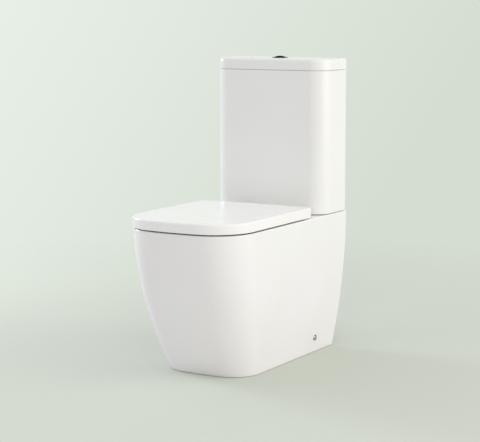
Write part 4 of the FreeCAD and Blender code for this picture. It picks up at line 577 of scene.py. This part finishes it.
def pan_form(height, rear=WALL):
    """The skirt's outline at a height."""
    drop = 1 - height / RIM
    rake = FRONT_LINEAR_SHARE * drop + (1 - FRONT_LINEAR_SHARE) * drop ** 2
    half_width = RIM_HALF + (FOOT_HALF - RIM_HALF) * drop ** 2
    front = RIM_FRONT + (FOOT_FRONT - RIM_FRONT) * rake
    corner = RIM_CORNER + (FOOT_CORNER - RIM_CORNER) * drop
    return Outline(half_width, front, rear, PAN_CROWN, corner, 0, 0)


def mouth_form():
    """The bowl's outline where it leaves the deck, measured at its sides, its front and its rear."""
    half_width = max(spot.x for spot in spots_at("pan_deck", DECK_UNDER, *MOUTH_SIDES))
    front = min(spot.y for spot in spots_at("pan_deck", DECK_UNDER, *MOUTH_FRONT))
    rear = max(spot.y for spot in spots_at("pan_deck", DECK_UNDER, *MOUTH_REAR))
    print("mouth in mm: half width, front and rear", in_mm(half_width, front, rear))
    corner = half_width * MOUTH_CORNER_SHARE
    return Outline(half_width, front, rear, half_width * MOUTH_CROWN_SHARE, corner, corner, 1)


def skirt_rings(bm, pairs, rear=WALL):
    """The skirt's outlines for pairs of an inset and a height."""
    return [half_outline(bm, pan_form(height, rear), inset, height) for inset, height in pairs]


def outer_casting():
    bm = bmesh.new()
    pairs = [(FOOT_INSET, 0)]
    pairs += quarter(pairs[-1], (0, FOOT_RISE), False, 4)
    pairs += even_pairs(0, FOOT_RISE, RIM - RIM_ROUND, PAN_LEVELS)
    pairs += quarter(pairs[-1], (RIM_ROUND, RIM), True)
    bridge_all(bm, skirt_rings(bm, pairs))
    mouth_floor = DECK_UNDER - DECK / 2
    pairs = [(-MOUTH_ROUND, RIM)]
    pairs += quarter(pairs[-1], (0, RIM - MOUTH_ROUND), False)
    pairs += [(0, DECK_UNDER), (0, mouth_floor)]
    add_skin(bm, mouth_form(), pairs)
    mirror_whole(bm)
    for height in (0, RIM, mouth_floor):
        fill_flat(bm, height)
    return finished_mesh(bm, "pan outside")


def pan_hollow():
    """What is missing behind the skirt."""
    bm = bmesh.new()
    pairs = [(PAN_WALL, -PAN_WALL), (PAN_WALL, 0)]
    pairs += even_pairs(PAN_WALL, 0, DECK_UNDER, PAN_LEVELS)
    bridge_all(bm, skirt_rings(bm, pairs, WALL + PAN_WALL))
    mirror_whole(bm)
    for height in (-PAN_WALL, DECK_UNDER):
        fill_flat(bm, height)
    return finished_mesh(bm, "pan hollow")


pan_mesh = cut_away(outer_casting(), pan_hollow())

# %% [markdown]
# ## Holes in the deck
# Under the cistern the deck has a well for the coupling, holes for the two bolts and the two water
# inlets, and further forward a hole for each seat stud. They are hidden from above, but the open back
# shows them, so they are cut where the CAD bolts and shanks stand. The well is a turned cup of its own.

# %% Cut the deck's holes and place the pan
BOLT_HOLE = 0.0065
BOLT_HEAD = 0.0075
INLET_HOLE = 0.020
STUD_HOLE = 0.007
STUD = 0.003
WELL_OUTSIDE = 0.060
WELL_INSIDE = 0.049
WELL_FLOOR = 0.012
DUCT_HOLE = 0.022
coupling_y = middle_of("coupling_gasket").y


def pan_drillings():
    """Round bars wherever the deck has a hole, the seat's studs and the coupling's bolts in pairs."""
    low = DECK_UNDER - DECK
    high = RIM + DECK
    bolt_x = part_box("coupling_bolts")[1].x - BOLT_HEAD
    inlet_x = middle_of("blanking_plug").x
    stud_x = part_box("hinge_studs")[1].x - STUD
    bm = bmesh.new()
    for side in (-1, 1):
        add_rod(bm, BOLT_HOLE, side * bolt_x, coupling_y, low, high, 32)
        add_rod(bm, INLET_HOLE, side * inlet_x, coupling_y, low, high, 48)
        add_rod(bm, STUD_HOLE, side * stud_x, middle_of("hinge_studs").y, low, high, 32)
    add_rod(bm, WELL_OUTSIDE, 0, coupling_y, low, high, 64)
    return finished_mesh(bm, "drillings")


def deck_well():
    """The cup under the deck that holds the coupling's gasket, with the duct's hole in its floor."""
    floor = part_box("coupling_gasket")[0].z
    bottom = floor - WELL_FLOOR
    profile = ((DUCT_HOLE, bottom), (WELL_OUTSIDE, bottom), (WELL_OUTSIDE, RIM), (WELL_INSIDE, RIM),
               (WELL_INSIDE, floor), (DUCT_HOLE, floor), (DUCT_HOLE, bottom))
    bm = bmesh.new()
    bridge_all(bm, [half_circle(bm, radius, coupling_y, height) for radius, height in profile])
    mirror_whole(bm)
    return finished_mesh(bm, "deck well")


placed(cut_away(pan_mesh, pan_drillings()), "pan_casting", ["pan", "pan_deck"], "glazed_china")
trimmed(deck_well(), "pan_well", "pan_and_cistern", "glazed_china")

# %% [markdown]
# ## The cistern tank
# The tank is a plain upright box with soft front corners, a rounded foot and an edge that the lid sits
# on. One skin goes up its outside, over the top edge and down its inside to the floor, so that the china
# has its real thickness when the lid is lifted. The joint under the lid lies a little lower than in the
# CAD, where the photograph shows it, and stays open by less than a millimetre, which draws it as a fine
# grey line.

# %% Shape the tank
TANK_CROWN = 6.0
TANK_CORNER = 0.05
TANK_CORNER_EASE = 0.0004
TANK_REAR_CORNER = 0.008
TANK_WALL = 0.010
TANK_FOOT_ROUND = 0.003
TANK_FLOOR_ROUND = 0.009
JOINT_ROUND = 0.0012
TANK_LEVELS = 10
JOINT_DROP = 0.0023
JOINT_GAP = 0.0007
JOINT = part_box("cistern_tank")[1].z - JOINT_DROP


def boxed_form(node, crown, corner, rear_corner):
    """An outline that fills a CAD part's box."""
    low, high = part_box(node)
    return Outline(high.x, low.y, high.y, crown, corner, rear_corner, 1)


def tank_skin():
    low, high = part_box("cistern_tank")
    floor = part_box("flush_valve_washer")[0].z
    form = boxed_form("cistern_tank", TANK_CROWN, TANK_CORNER - TANK_CORNER_EASE, TANK_REAR_CORNER)
    pairs = [(TANK_FOOT_ROUND, low.z)]
    pairs += quarter(pairs[-1], (0, low.z + TANK_FOOT_ROUND), False)
    edge = JOINT - JOINT_GAP
    pairs += even_pairs(0, low.z + TANK_FOOT_ROUND, edge - JOINT_ROUND, TANK_LEVELS)
    pairs += quarter(pairs[-1], (JOINT_ROUND, edge), True, 4)
    pairs += [(TANK_WALL, edge), (TANK_WALL, floor + TANK_FLOOR_ROUND)]
    pairs += quarter(pairs[-1], (TANK_WALL + TANK_FLOOR_ROUND, floor), True)
    bm = bmesh.new()
    add_skin(bm, form, pairs)
    mirror_whole(bm)
    fill_flat(bm, low.z)
    fill_flat(bm, floor)
    return finished_mesh(bm, "tank")


placed(tank_skin(), "cistern_body", ["cistern_tank"], "glazed_china")

# %% [markdown]
# ## The cistern lid
# The lid is a shallow china tray upside down. Its top edge is a full round, which softens its corners
# against the background, and a lip inside keeps it from sliding off the tank. Its one hole holds the
# push button.

# %% Shape the cistern lid
LID_WALL = 0.0095
LID_TOP_ROUND = 0.009
LIP_INSET = 0.0118
LIP_WALL = 0.004
BUTTON_HOLE = 0.0225
button_y = middle_of("button_housing").y


def cistern_lid_skin():
    low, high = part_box("cistern_lid")
    ceiling = high.z - LID_WALL
    form = boxed_form("cistern_lid", TANK_CROWN, TANK_CORNER, TANK_REAR_CORNER)
    lip_inside = LIP_INSET + LIP_WALL
    pairs = [(lip_inside, ceiling), (lip_inside, low.z), (LIP_INSET, low.z), (LIP_INSET, ceiling)]
    pairs += [(LID_WALL, ceiling), (LID_WALL, JOINT), (JOINT_ROUND, JOINT)]
    pairs += quarter(pairs[-1], (0, JOINT + JOINT_ROUND), False, 4)
    pairs += even_pairs(0, JOINT + JOINT_ROUND, high.z - LID_TOP_ROUND, 3)
    pairs += quarter(pairs[-1], (LID_TOP_ROUND, high.z), True, 8)
    bm = bmesh.new()
    add_skin(bm, form, pairs)
    bridge_all(bm, [half_circle(bm, BUTTON_HOLE, button_y, height) for height in (ceiling, high.z)])
    mirror_whole(bm)
    fill_flat(bm, high.z)
    fill_flat(bm, ceiling)
    return finished_mesh(bm, "cistern lid")


placed(cistern_lid_skin(), "cistern_cover", ["cistern_lid"], "glazed_china")

# %% [markdown]
# ## The push button
# The button is one low dome split in two, the larger half for the full flush, inside a dark collar that
# is thinner than a coin. Turned parts are drawn as a profile of radius and height and spun all the way
# round. Each half is the same dome, cut off by a plane a little beside the split, and has a rod that
# reaches down to the flush valve.

# %% Turn the collar and the two halves
COLLAR_RADIUS = 0.0235
COLLAR_RISE = 0.0009
COLLAR_EDGE = 0.0006
BORE_EDGE = 0.0004
BARREL_RADIUS = 0.022
BARREL_WALL = 0.0022
DOME_RADIUS = 0.0194
DOME_LOW = 0.0006
DOME_HIGH = 0.0052
DOME_DEPTH = 0.003
DOME_STEPS = 12
SPLIT_X = 0.003
SPLIT_GAP = 0.0006
PUSH_ROD = 0.0022
PUSH_ROD_X = 0.011
ROD_GRIP = 0.001
CUT_TOLERANCE = 0.000001
lid_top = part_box("cistern_lid")[1].z


def lathe(bm, profile, centre_y, close=True):
    """Spins radius and height pairs all the way round an upright axis."""
    verts = [bm.verts.new((radius, centre_y, height)) for radius, height in profile]
    edges = [bm.edges.new(pair) for pair in zip(verts, verts[1:])]
    if close:
        edges.append(bm.edges.new((verts[-1], verts[0])))
    bmesh.ops.spin(bm, geom=verts + edges, cent=(0, centre_y, 0), axis=(0, 0, 1), dvec=(0, 0, 0),
                   angle=2 * math.pi, steps=64, use_merge=True, use_normal_flip=False, use_duplicate=False)
    bmesh.ops.remove_doubles(bm, verts=bm.verts[:], dist=MERGE_DISTANCE)


def collar():
    """A barrel through the lid with a thin flange on top."""
    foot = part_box("button_housing")[0].z
    bore = BARREL_RADIUS - BARREL_WALL
    bm = bmesh.new()
    lathe(bm, [
        (bore, foot), (BARREL_RADIUS, foot), (BARREL_RADIUS, lid_top), (COLLAR_RADIUS, lid_top),
        (COLLAR_RADIUS, lid_top + COLLAR_RISE / 3), (COLLAR_RADIUS - COLLAR_EDGE, lid_top + COLLAR_RISE),
        (bore + BORE_EDGE, lid_top + COLLAR_RISE), (bore, lid_top + COLLAR_RISE / 2)], button_y)
    return finished_mesh(bm, "collar")


def button_half(side, node):
    """The part of the dome on one side of the split, with its rod as long as the CAD one."""
    base = lid_top - DOME_DEPTH
    profile = [(0, base), (DOME_RADIUS, base), (DOME_RADIUS, lid_top + DOME_LOW)]
    for number in range(1, DOME_STEPS + 1):
        angle = math.pi / 2 * number / DOME_STEPS
        rise = DOME_LOW + (DOME_HIGH - DOME_LOW) * math.sin(angle) ** 2
        profile.append((DOME_RADIUS * math.cos(angle), lid_top + rise))
    profile[-1] = (0, lid_top + DOME_HIGH)
    bm = bmesh.new()
    lathe(bm, profile, button_y, close=False)
    edge = SPLIT_X + side * SPLIT_GAP / 2
    bmesh.ops.bisect_plane(bm, geom=bm.verts[:] + bm.edges[:] + bm.faces[:], dist=CUT_TOLERANCE,
                           plane_co=(edge, 0, 0), plane_no=(side, 0, 0), clear_inner=True)
    bmesh.ops.holes_fill(bm, edges=[item for item in bm.edges if item.is_boundary], sides=0)
    rod_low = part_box(node)[0].z
    add_rod(bm, PUSH_ROD, side * PUSH_ROD_X, button_y, rod_low, base + ROD_GRIP, 24)
    return finished_mesh(bm, "button half")


placed(collar(), "button_collar", ["button_housing"], "dark_chrome")
placed(button_half(-1, "full_flush_button"), "full_flush_dome", ["full_flush_button"], "dark_chrome")
placed(button_half(1, "half_flush_button"), "half_flush_dome", ["half_flush_button"], "dark_chrome")

# %% [markdown]
# ## The caps at the foot
# A chromed cap on each side of the skirt covers the screw that holds the pan to the floor. It is a small
# turned dish: a round rim, a groove and a low dome in the middle. A black rubber ring in the groove is
# painted shade, a dark thing set where the cap shows dark reflection and shade. It is turned upright at the
# origin and then tipped to stand square on the skirt, whose slope comes from the CAD cap's flat face.

# %% Turn the caps and the black rings of painted shade in their grooves
CAP_PROFILE = ((0.0086, -0.0031), (0.0086, -0.0012), (0.0084, -0.0005), (0.0079, -0.0001), (0.0074, 0.0),
               (0.0070, -0.0003), (0.0068, -0.0018), (0.0052, -0.0018), (0.0050, -0.0010), (0.0044, -0.0004),
               (0.0030, -0.0001), (0.0, 0.0), (0.0, -0.0031))
# The black ring in each groove is painted shade: it darkens the groove where the cap shows dark reflection
# and shade.
SHADE_RING_PROFILE = ((0.0068, -0.0019), (0.0068, -0.0012), (0.0060, -0.0009), (0.0052, -0.0012),
                (0.0052, -0.0019))
FACING = 0.97


def cap_frame(side):
    """Where a CAD cap's outer face is and which way it faces."""
    faces = [face for face in nodes["side_fixing_caps"].data.polygons if face.normal.x * side > FACING]
    area = sum(face.area for face in faces)
    centre = sum((face.center * face.area for face in faces), Vector()) / area
    outward = sum((face.normal * face.area for face in faces), Vector()).normalized()
    highest = max((face.center - centre).dot(outward) for face in faces)
    centre += outward * highest
    return Matrix.Translation(centre) @ outward.to_track_quat("Z", "Y").to_matrix().to_4x4()


def turned_pair(name, profile, close):
    """A turned piece on either side of the skirt."""
    whole = bmesh.new()
    for side in (-1, 1):
        bm = bmesh.new()
        lathe(bm, profile, 0, close)
        bmesh.ops.transform(bm, matrix=cap_frame(side), verts=bm.verts[:])
        whole.from_mesh(finished_mesh(bm, name))
    mesh = bpy.data.meshes.new(name)
    whole.to_mesh(mesh)
    whole.free()
    return mesh


placed(turned_pair("cap", CAP_PROFILE, False), "fixing_caps", ["side_fixing_caps"], "bright_chrome")
# Black rings of painted shade in the caps' grooves, standing in for their dark reflection and shade.
trimmed(turned_pair("cap seal", SHADE_RING_PROFILE, True), "cap_shade_rings", "pan_and_cistern", "black_rubber")

# %% [markdown]
# ## The seat lid
# The lid wraps over the ring like the lid of a box. It is one skin as well: up the outside, round the
# top edge, and down inside its wall to the ceiling. Its skirt hangs a little lower than the CAD one, as
# far as the gap in the photograph shows. Its back has a notch on each side for the hinge posts, and a
# rounded heel that swings clear of the deck as the lid opens. Both are cut from the finished skin.

# %% Shape the seat lid
SEAT_CROWN = 0.7
SEAT_CORNER = 0.1145
SEAT_REAR_CORNER = 0.014
SEAT_TOP_ROUND = 0.0055
SEAT_LID_WALL = 0.0045
SEAT_LID_PLATE = 0.005
SEAT_EDGE_ROUND = 0.0008
SKIRT_EXTRA = 0.0016
HEEL_ROUND = 0.006
NOTCH_NEAR = 0.0474
NOTCH_FAR = 0.0881
CUT_EXTRA = 0.005
lid_low, lid_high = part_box("seat_lid")
skirt_z = lid_low.z - SKIRT_EXTRA
lid_ceiling = lid_high.z - SEAT_LID_PLATE
_, HINGE_Y, HINGE_Z = middle_of("hinge_pins")
print("hinge axis in mm: y and z", in_mm(HINGE_Y, HINGE_Z))


def seat_lid_skin():
    form = boxed_form("seat_lid", SEAT_CROWN, SEAT_CORNER, SEAT_REAR_CORNER)
    pairs = [(SEAT_LID_WALL, lid_ceiling), (SEAT_LID_WALL, skirt_z), (SEAT_EDGE_ROUND, skirt_z)]
    pairs += quarter(pairs[-1], (0, skirt_z + SEAT_EDGE_ROUND), False, 3)
    pairs += even_pairs(0, skirt_z + SEAT_EDGE_ROUND, lid_high.z - SEAT_TOP_ROUND, 3)
    pairs += quarter(pairs[-1], (SEAT_TOP_ROUND, lid_high.z), True, 10)
    bm = bmesh.new()
    add_skin(bm, form, pairs)
    mirror_whole(bm)
    fill_flat(bm, lid_high.z)
    fill_flat(bm, lid_ceiling)
    return finished_mesh(bm, "seat lid")


def notch_cutter():
    """Two blocks where the hinge posts stand."""
    bm = bmesh.new()
    for side in (-1, 1):
        ends = sorted((side * NOTCH_NEAR, side * NOTCH_FAR))
        low = (ends[0], HINGE_Y, lid_low.z - CUT_EXTRA)
        add_block(bm, low, (ends[1], lid_high.y + CUT_EXTRA, lid_ceiling))
    return finished_mesh(bm, "notch cutter")


def heel_cutter():
    """What lies outside the round under the lid's rear edge, along the whole width."""
    bm = bmesh.new()
    reach = lid_high.x * 2
    start_y = lid_high.y - HEEL_ROUND
    vert = bm.verts.new((-reach, start_y, lid_low.z))
    centre = (-reach, start_y, lid_low.z + HEEL_ROUND)
    last = turned(bm, vert, centre, math.pi / 2, 8, (1, 0, 0))
    y, z = last.co.y + CUT_EXTRA, last.co.z
    for place in ((y, z), (y, lid_low.z - CUT_EXTRA), (start_y, lid_low.z - CUT_EXTRA)):
        last = bmesh.ops.extrude_vert_indiv(bm, verts=[last])["verts"][0]
        last.co = (-reach, *place)
    bm.edges.new((last, vert))
    face = bmesh.ops.contextual_create(bm, geom=bm.edges[:])["faces"]
    grown = bmesh.ops.extrude_face_region(bm, geom=face)
    moved = [item for item in grown["geom"] if isinstance(item, bmesh.types.BMVert)]
    bmesh.ops.translate(bm, verts=moved, vec=(2 * reach, 0, 0))
    return finished_mesh(bm, "heel cutter")


# %% Add the hinge knuckles
KNUCKLE = 0.0075
WEB_ROUND = 0.0006
WEB_REACH = 0.001
LID_KNUCKLES = ((-0.1051, -0.0881), (0.0881, 0.1051))


def with_knuckles(mesh, name, spans, web_y, web_z):
    """Adds hinge knuckles, with a web from each into the panel."""
    bm = bmesh.new()
    bm.from_mesh(mesh)
    for x_low, x_high in spans:
        add_axle(bm, KNUCKLE, x_low, x_high, HINGE_Y, HINGE_Z)
        verts = add_block(bm, (x_low, web_y[0], web_z[0]), (x_high, web_y[1], web_z[1]))
        edges = list({edge for vert in verts for edge in vert.link_edges})
        bmesh.ops.bevel(bm, geom=edges, offset=WEB_ROUND, segments=2, affect="EDGES", profile=0.5,
                        material=-1)
    mesh = bpy.data.meshes.new(name)
    bm.to_mesh(mesh)
    bm.free()
    return mesh


seat_lid_mesh = cut_away(cut_away(seat_lid_skin(), notch_cutter()), heel_cutter())
seat_lid_mesh = with_knuckles(
    seat_lid_mesh, "seat lid", LID_KNUCKLES, (HINGE_Y - KNUCKLE, HINGE_Y + KNUCKLE),
    (HINGE_Z, lid_ceiling + WEB_REACH))
placed(seat_lid_mesh, "seat_cover", ["seat_lid"], "seat_gloss_white")

# %% [markdown]
# ## The seat ring
# The ring has the lid's outline, drawn in, with an oval opening. It is hollow below, so the skin has two
# stacks: one for the outer wall and one for the wall round the opening. The plates between them, one on
# top and one under the top, are filled flat. Its knuckles stand between those of the lid, on the same
# pin line.

# %% Shape the ring
RING_REAR = 0.020
RING_WALL = 0.004
RING_PLATE = 0.0045
RING_TOP_ROUND = 0.006
RING_CROWN = 0.693
RING_CORNER = 0.1075
RING_REAR_CORNER = 0.034
HOLE_HALF = 0.110
HOLE_FRONT_WIDTH = 0.067
HOLE_REAR = 0.036
HOLE_CORNERS = (0.092, 0.080)
HOLE_CROWN = 0.260
RING_KNUCKLES = ((-0.0669, -0.0489), (0.0489, 0.0669))
RING_WEB_DEPTHS = (0.0145, 0.0015)
RING_WEB_REACH = 0.034
ring_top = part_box("lid_bumpers")[0].z


def ring_skin():
    low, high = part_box("seat_ring")
    bottom = low.z
    ceiling = ring_top - RING_PLATE
    outside = Outline(high.x, low.y, HINGE_Y - RING_REAR, RING_CROWN, RING_CORNER, RING_REAR_CORNER, 1)
    hole = Outline(HOLE_HALF, low.y + HOLE_FRONT_WIDTH, HOLE_REAR, HOLE_CROWN, *HOLE_CORNERS, 1)
    bm = bmesh.new()
    pairs = [(RING_WALL, ceiling), (RING_WALL, bottom), (0, bottom), (0, ring_top - RING_TOP_ROUND)]
    pairs += quarter(pairs[-1], (RING_TOP_ROUND, ring_top), True, 8)
    add_skin(bm, outside, pairs)
    pairs = [(-RING_TOP_ROUND, ring_top)]
    pairs += quarter(pairs[-1], (0, ring_top - RING_TOP_ROUND), False, 8)
    pairs += [(0, bottom), (-RING_WALL, bottom), (-RING_WALL, ceiling)]
    add_skin(bm, hole, pairs)
    mirror_whole(bm)
    fill_flat(bm, ring_top)
    fill_flat(bm, ceiling)
    return finished_mesh(bm, "ring")


ring_mesh = with_knuckles(ring_skin(), "ring", RING_KNUCKLES, (HINGE_Y - RING_WEB_REACH, HINGE_Y),
                          [ring_top - depth for depth in RING_WEB_DEPTHS])
placed(ring_mesh, "seat_ring_top", ["seat_ring"], "seat_gloss_white")

# %% [markdown]
# ## Small parts
# Bolts, nuts, valves, hinges and the bowl below the deck keep their CAD meshes. Those arrive as loose
# triangles with flat shading. A Weld modifier joins them again, and an Edge Split keeps the true edges
# crisp while everything else is shaded smooth. Each part takes the finish that its slot in the record
# names.

# %% Dress the CAD parts
WELD_DISTANCE = 0.00001
slot_of = {part["node"]: part["material_slot"] for part in frame["record"]["subparts"]}


def dress(name):
    """Gives a CAD part its finish and smooth shading."""
    part = nodes[name]
    mesh = part.data
    mesh.materials.clear()
    mesh.materials.append(finishes[slot_of[name]])
    if mesh.has_custom_normals:
        mesh.attributes.remove(mesh.attributes["custom_normal"])
    mesh.shade_smooth()
    weld = part.modifiers.new("weld", "WELD")
    weld.merge_threshold = WELD_DISTANCE
    split = part.modifiers.new("crisp edges", "EDGE_SPLIT")
    split.split_angle = SHARP_ANGLE


shown = [name for name, part in nodes.items() if not part.hide_render]
for name in shown:
    dress(name)
print("Dressed", len(shown), "CAD parts")

# %% [markdown]
# ## Floor and background
# A studio sweep has no horizon. Here the floor is a large disc that fades out as it gets further from
# the toilet, and beyond it the world shows the same pale sage, a little lighter at the left as in the
# photograph. Only the camera sees the sage: for every other ray the floor is a neutral grey, since light
# bounced off a green floor would tint the white china.

# %% Lay the floor
FLOOR_SEEN = (0.618, 0.656, 0.587, 1)
FLOOR_NEUTRAL = (0.70, 0.70, 0.69, 1)
FLOOR_RADIUS = 4.0
MOTTLE_SHADE = 0.985
FADE_FROM = 1.0
FADE_TO = 2.4


def sage_floor():
    recipe = Recipe("sage floor", Roughness=0.8, Specular_IOR_Level=0.1)
    mottle = recipe.noise(3.0, 3.0)
    shade = [channel * MOTTLE_SHADE for channel in FLOOR_SEEN[:3]] + [1]
    seen = recipe.value("ShaderNodeLightPath", output="Is Camera Ray")
    colour = recipe.blend(mottle, FLOOR_SEEN, shade)
    recipe.feed("Base Color", recipe.blend(seen, FLOOR_NEUTRAL, colour))
    distance = recipe.value("ShaderNodeVectorMath", {"operation": "LENGTH"}, {0: recipe.place()}, "Value")
    faded = recipe.window(distance, FADE_FROM, FADE_TO)
    clear = recipe.node("ShaderNodeBsdfTransparent").outputs[0]
    mixed = recipe.node("ShaderNodeMixShader", {}, {0: faded, 1: recipe.shader.outputs[0], 2: clear})
    recipe.tree.links.new(mixed.outputs[0], recipe.tree.nodes["Material Output"].inputs[0])
    return recipe.material


def lay_floor():
    bm = bmesh.new()
    bmesh.ops.create_circle(bm, cap_ends=True, cap_tris=False, segments=96, radius=FLOOR_RADIUS)
    mesh = bpy.data.meshes.new("floor")
    bm.to_mesh(mesh)
    bm.free()
    mesh.materials.append(sage_floor())
    floor = bpy.data.objects.new("floor", mesh)
    scene.collection.objects.link(floor)
    print("floor radius", FLOOR_RADIUS, "m")


lay_floor()

# %% [markdown]
# ## A dome of light
# Most of the light in the photograph has no direction that one could point at: the right side of the
# china is nearly white, the front a neutral grey and the left edge cool, with no edge of a lamp mirrored
# anywhere. That is a dome whose brightness changes slowly with direction. The world gives it to all rays
# that only light the object. Rays from the camera, and those mirrored or let through, see the sage
# background instead. The sage runs from a lighter to a darker green across the direction that the
# photograph's own background does.

# %% Light the dome
DOME = {
    "right": (1.15, 1.14, 1.10, 1),
    "left": (0.97, 0.99, 1.10, 1),
    "above": (0.60, 0.575, 0.56, 1),
}
SAGE_LEFT = (0.807, 0.863, 0.799, 1)
SAGE_RIGHT = (0.668, 0.724, 0.646, 1)
ACROSS = (0.777, 0.370, -0.509)
SAGE_FROM = -0.20
SAGE_TO = 0.07


class Studio(Recipe):
    """The world's node tree, with the recipe's helpers."""

    def __init__(self, name):
        world = bpy.data.worlds.new(name)
        scene.world = world
        world.use_nodes = True
        self.tree = world.node_tree

    def lean(self, direction):
        """How far the looked-at direction leans towards another, from -1 to 1."""
        look = self.node("ShaderNodeTexCoord").outputs["Generated"]
        return self.value("ShaderNodeVectorMath", {"operation": "DOT_PRODUCT"}, {
            0: look, 1: direction}, "Value")

    def larger(self, first, second):
        """The larger of two numbers."""
        return self.value("ShaderNodeMath", {"operation": "MAXIMUM"}, {0: first, 1: second})

    def with_more(self, colour, share, extra):
        """A colour with a share of another added."""
        settings = {"data_type": "RGBA", "blend_type": "ADD"}
        return self.node("ShaderNodeMix", settings, {0: share, 6: colour, 7: extra}).outputs[2]


studio = Studio("studio")
light = (0, 0, 0, 1)
for name, direction in (("right", (1, 0, 0)), ("left", (-1, 0, 0)), ("above", (0, 0, 1))):
    light = studio.with_more(light, studio.larger(studio.lean(direction), 0.0), DOME[name])
lit = studio.node("ShaderNodeBackground", {}, {"Color": light})
sage = studio.blend(studio.window(studio.lean(ACROSS), SAGE_FROM, SAGE_TO), SAGE_LEFT, SAGE_RIGHT)
seen = studio.node("ShaderNodeBackground", {}, {"Color": sage})
ray = studio.node("ShaderNodeLightPath")
shown_to = Value(studio, ray.outputs["Is Camera Ray"])
for kind in ("Is Glossy Ray", "Is Transmission Ray"):
    shown_to = studio.larger(shown_to, ray.outputs[kind])
either = studio.node("ShaderNodeMixShader", {}, {0: shown_to, 1: lit.outputs[0], 2: seen.outputs[0]})
studio.tree.links.new(either.outputs[0], studio.tree.nodes["World Output"].inputs[0])
print("The dome has", len(studio.tree.nodes), "nodes")

# %% [markdown]
# ## Lamps
# The dome alone would leave the toilet floating. A small lamp at the left throws the long shadow that
# lies to the right of the foot, and draws a cool line down every left edge. A wide lamp at the right
# keeps that side the brightest, and one in front evens out the grey of the front faces from top to
# bottom.

# %% Set the lamps
CENTRE = (0.0, 0.0, 0.42)
LAMPS = (
    ("right light", 24, 3.0, (3.2, 0.4, 1.7), (1.0, 1.0, 1.0)),
    ("left light", 36, 0.9, (-3.2, 0.25, 1.35), (0.93, 0.99, 1.0)),
    ("front light", 46, 3.0, (2.6, -4.4, 2.4), (1.0, 0.99, 0.98)),
)


def lamp(name, watts, side, place, colour):
    """A square lamp that looks at the toilet's middle."""
    panel = bpy.data.lights.new(name, "AREA")
    panel.shape = "RECTANGLE"
    panel.energy = watts
    panel.size = side
    panel.size_y = side
    panel.color = colour
    holder = bpy.data.objects.new(name, panel)
    scene.collection.objects.link(holder)
    holder.location = place
    holder.rotation_euler = (Vector(CENTRE) - Vector(place)).to_track_quat("-Z", "Y").to_euler()
    print(name, watts, "W")


for settings in LAMPS:
    lamp(*settings)

# %% [markdown]
# ## Camera
# The camera's place and lens come from the photograph's own straight edges: the cistern's uprights, the
# lid's edges and the foot fix the view, and a height of 400 mm for the rim fixes the scale.

# %% Set the camera
CAMERA_PLACE = (2.1593, -3.6767, 0.9890)
CAMERA_TILT = math.radians(82.075)
CAMERA_HEADING = math.radians(30.255)
CAMERA_LENS = 117.16
SENSOR_WIDTH = 36.0

camera_data = bpy.data.cameras.new("camera")
camera_data.lens = CAMERA_LENS
camera_data.sensor_width = SENSOR_WIDTH
camera = bpy.data.objects.new("camera", camera_data)
scene.collection.objects.link(camera)
camera.location = CAMERA_PLACE
camera.rotation_euler = (CAMERA_TILT, 0, CAMERA_HEADING)
scene.camera = camera
scene.view_settings.view_transform = "Standard"
print("camera at", CAMERA_PLACE)
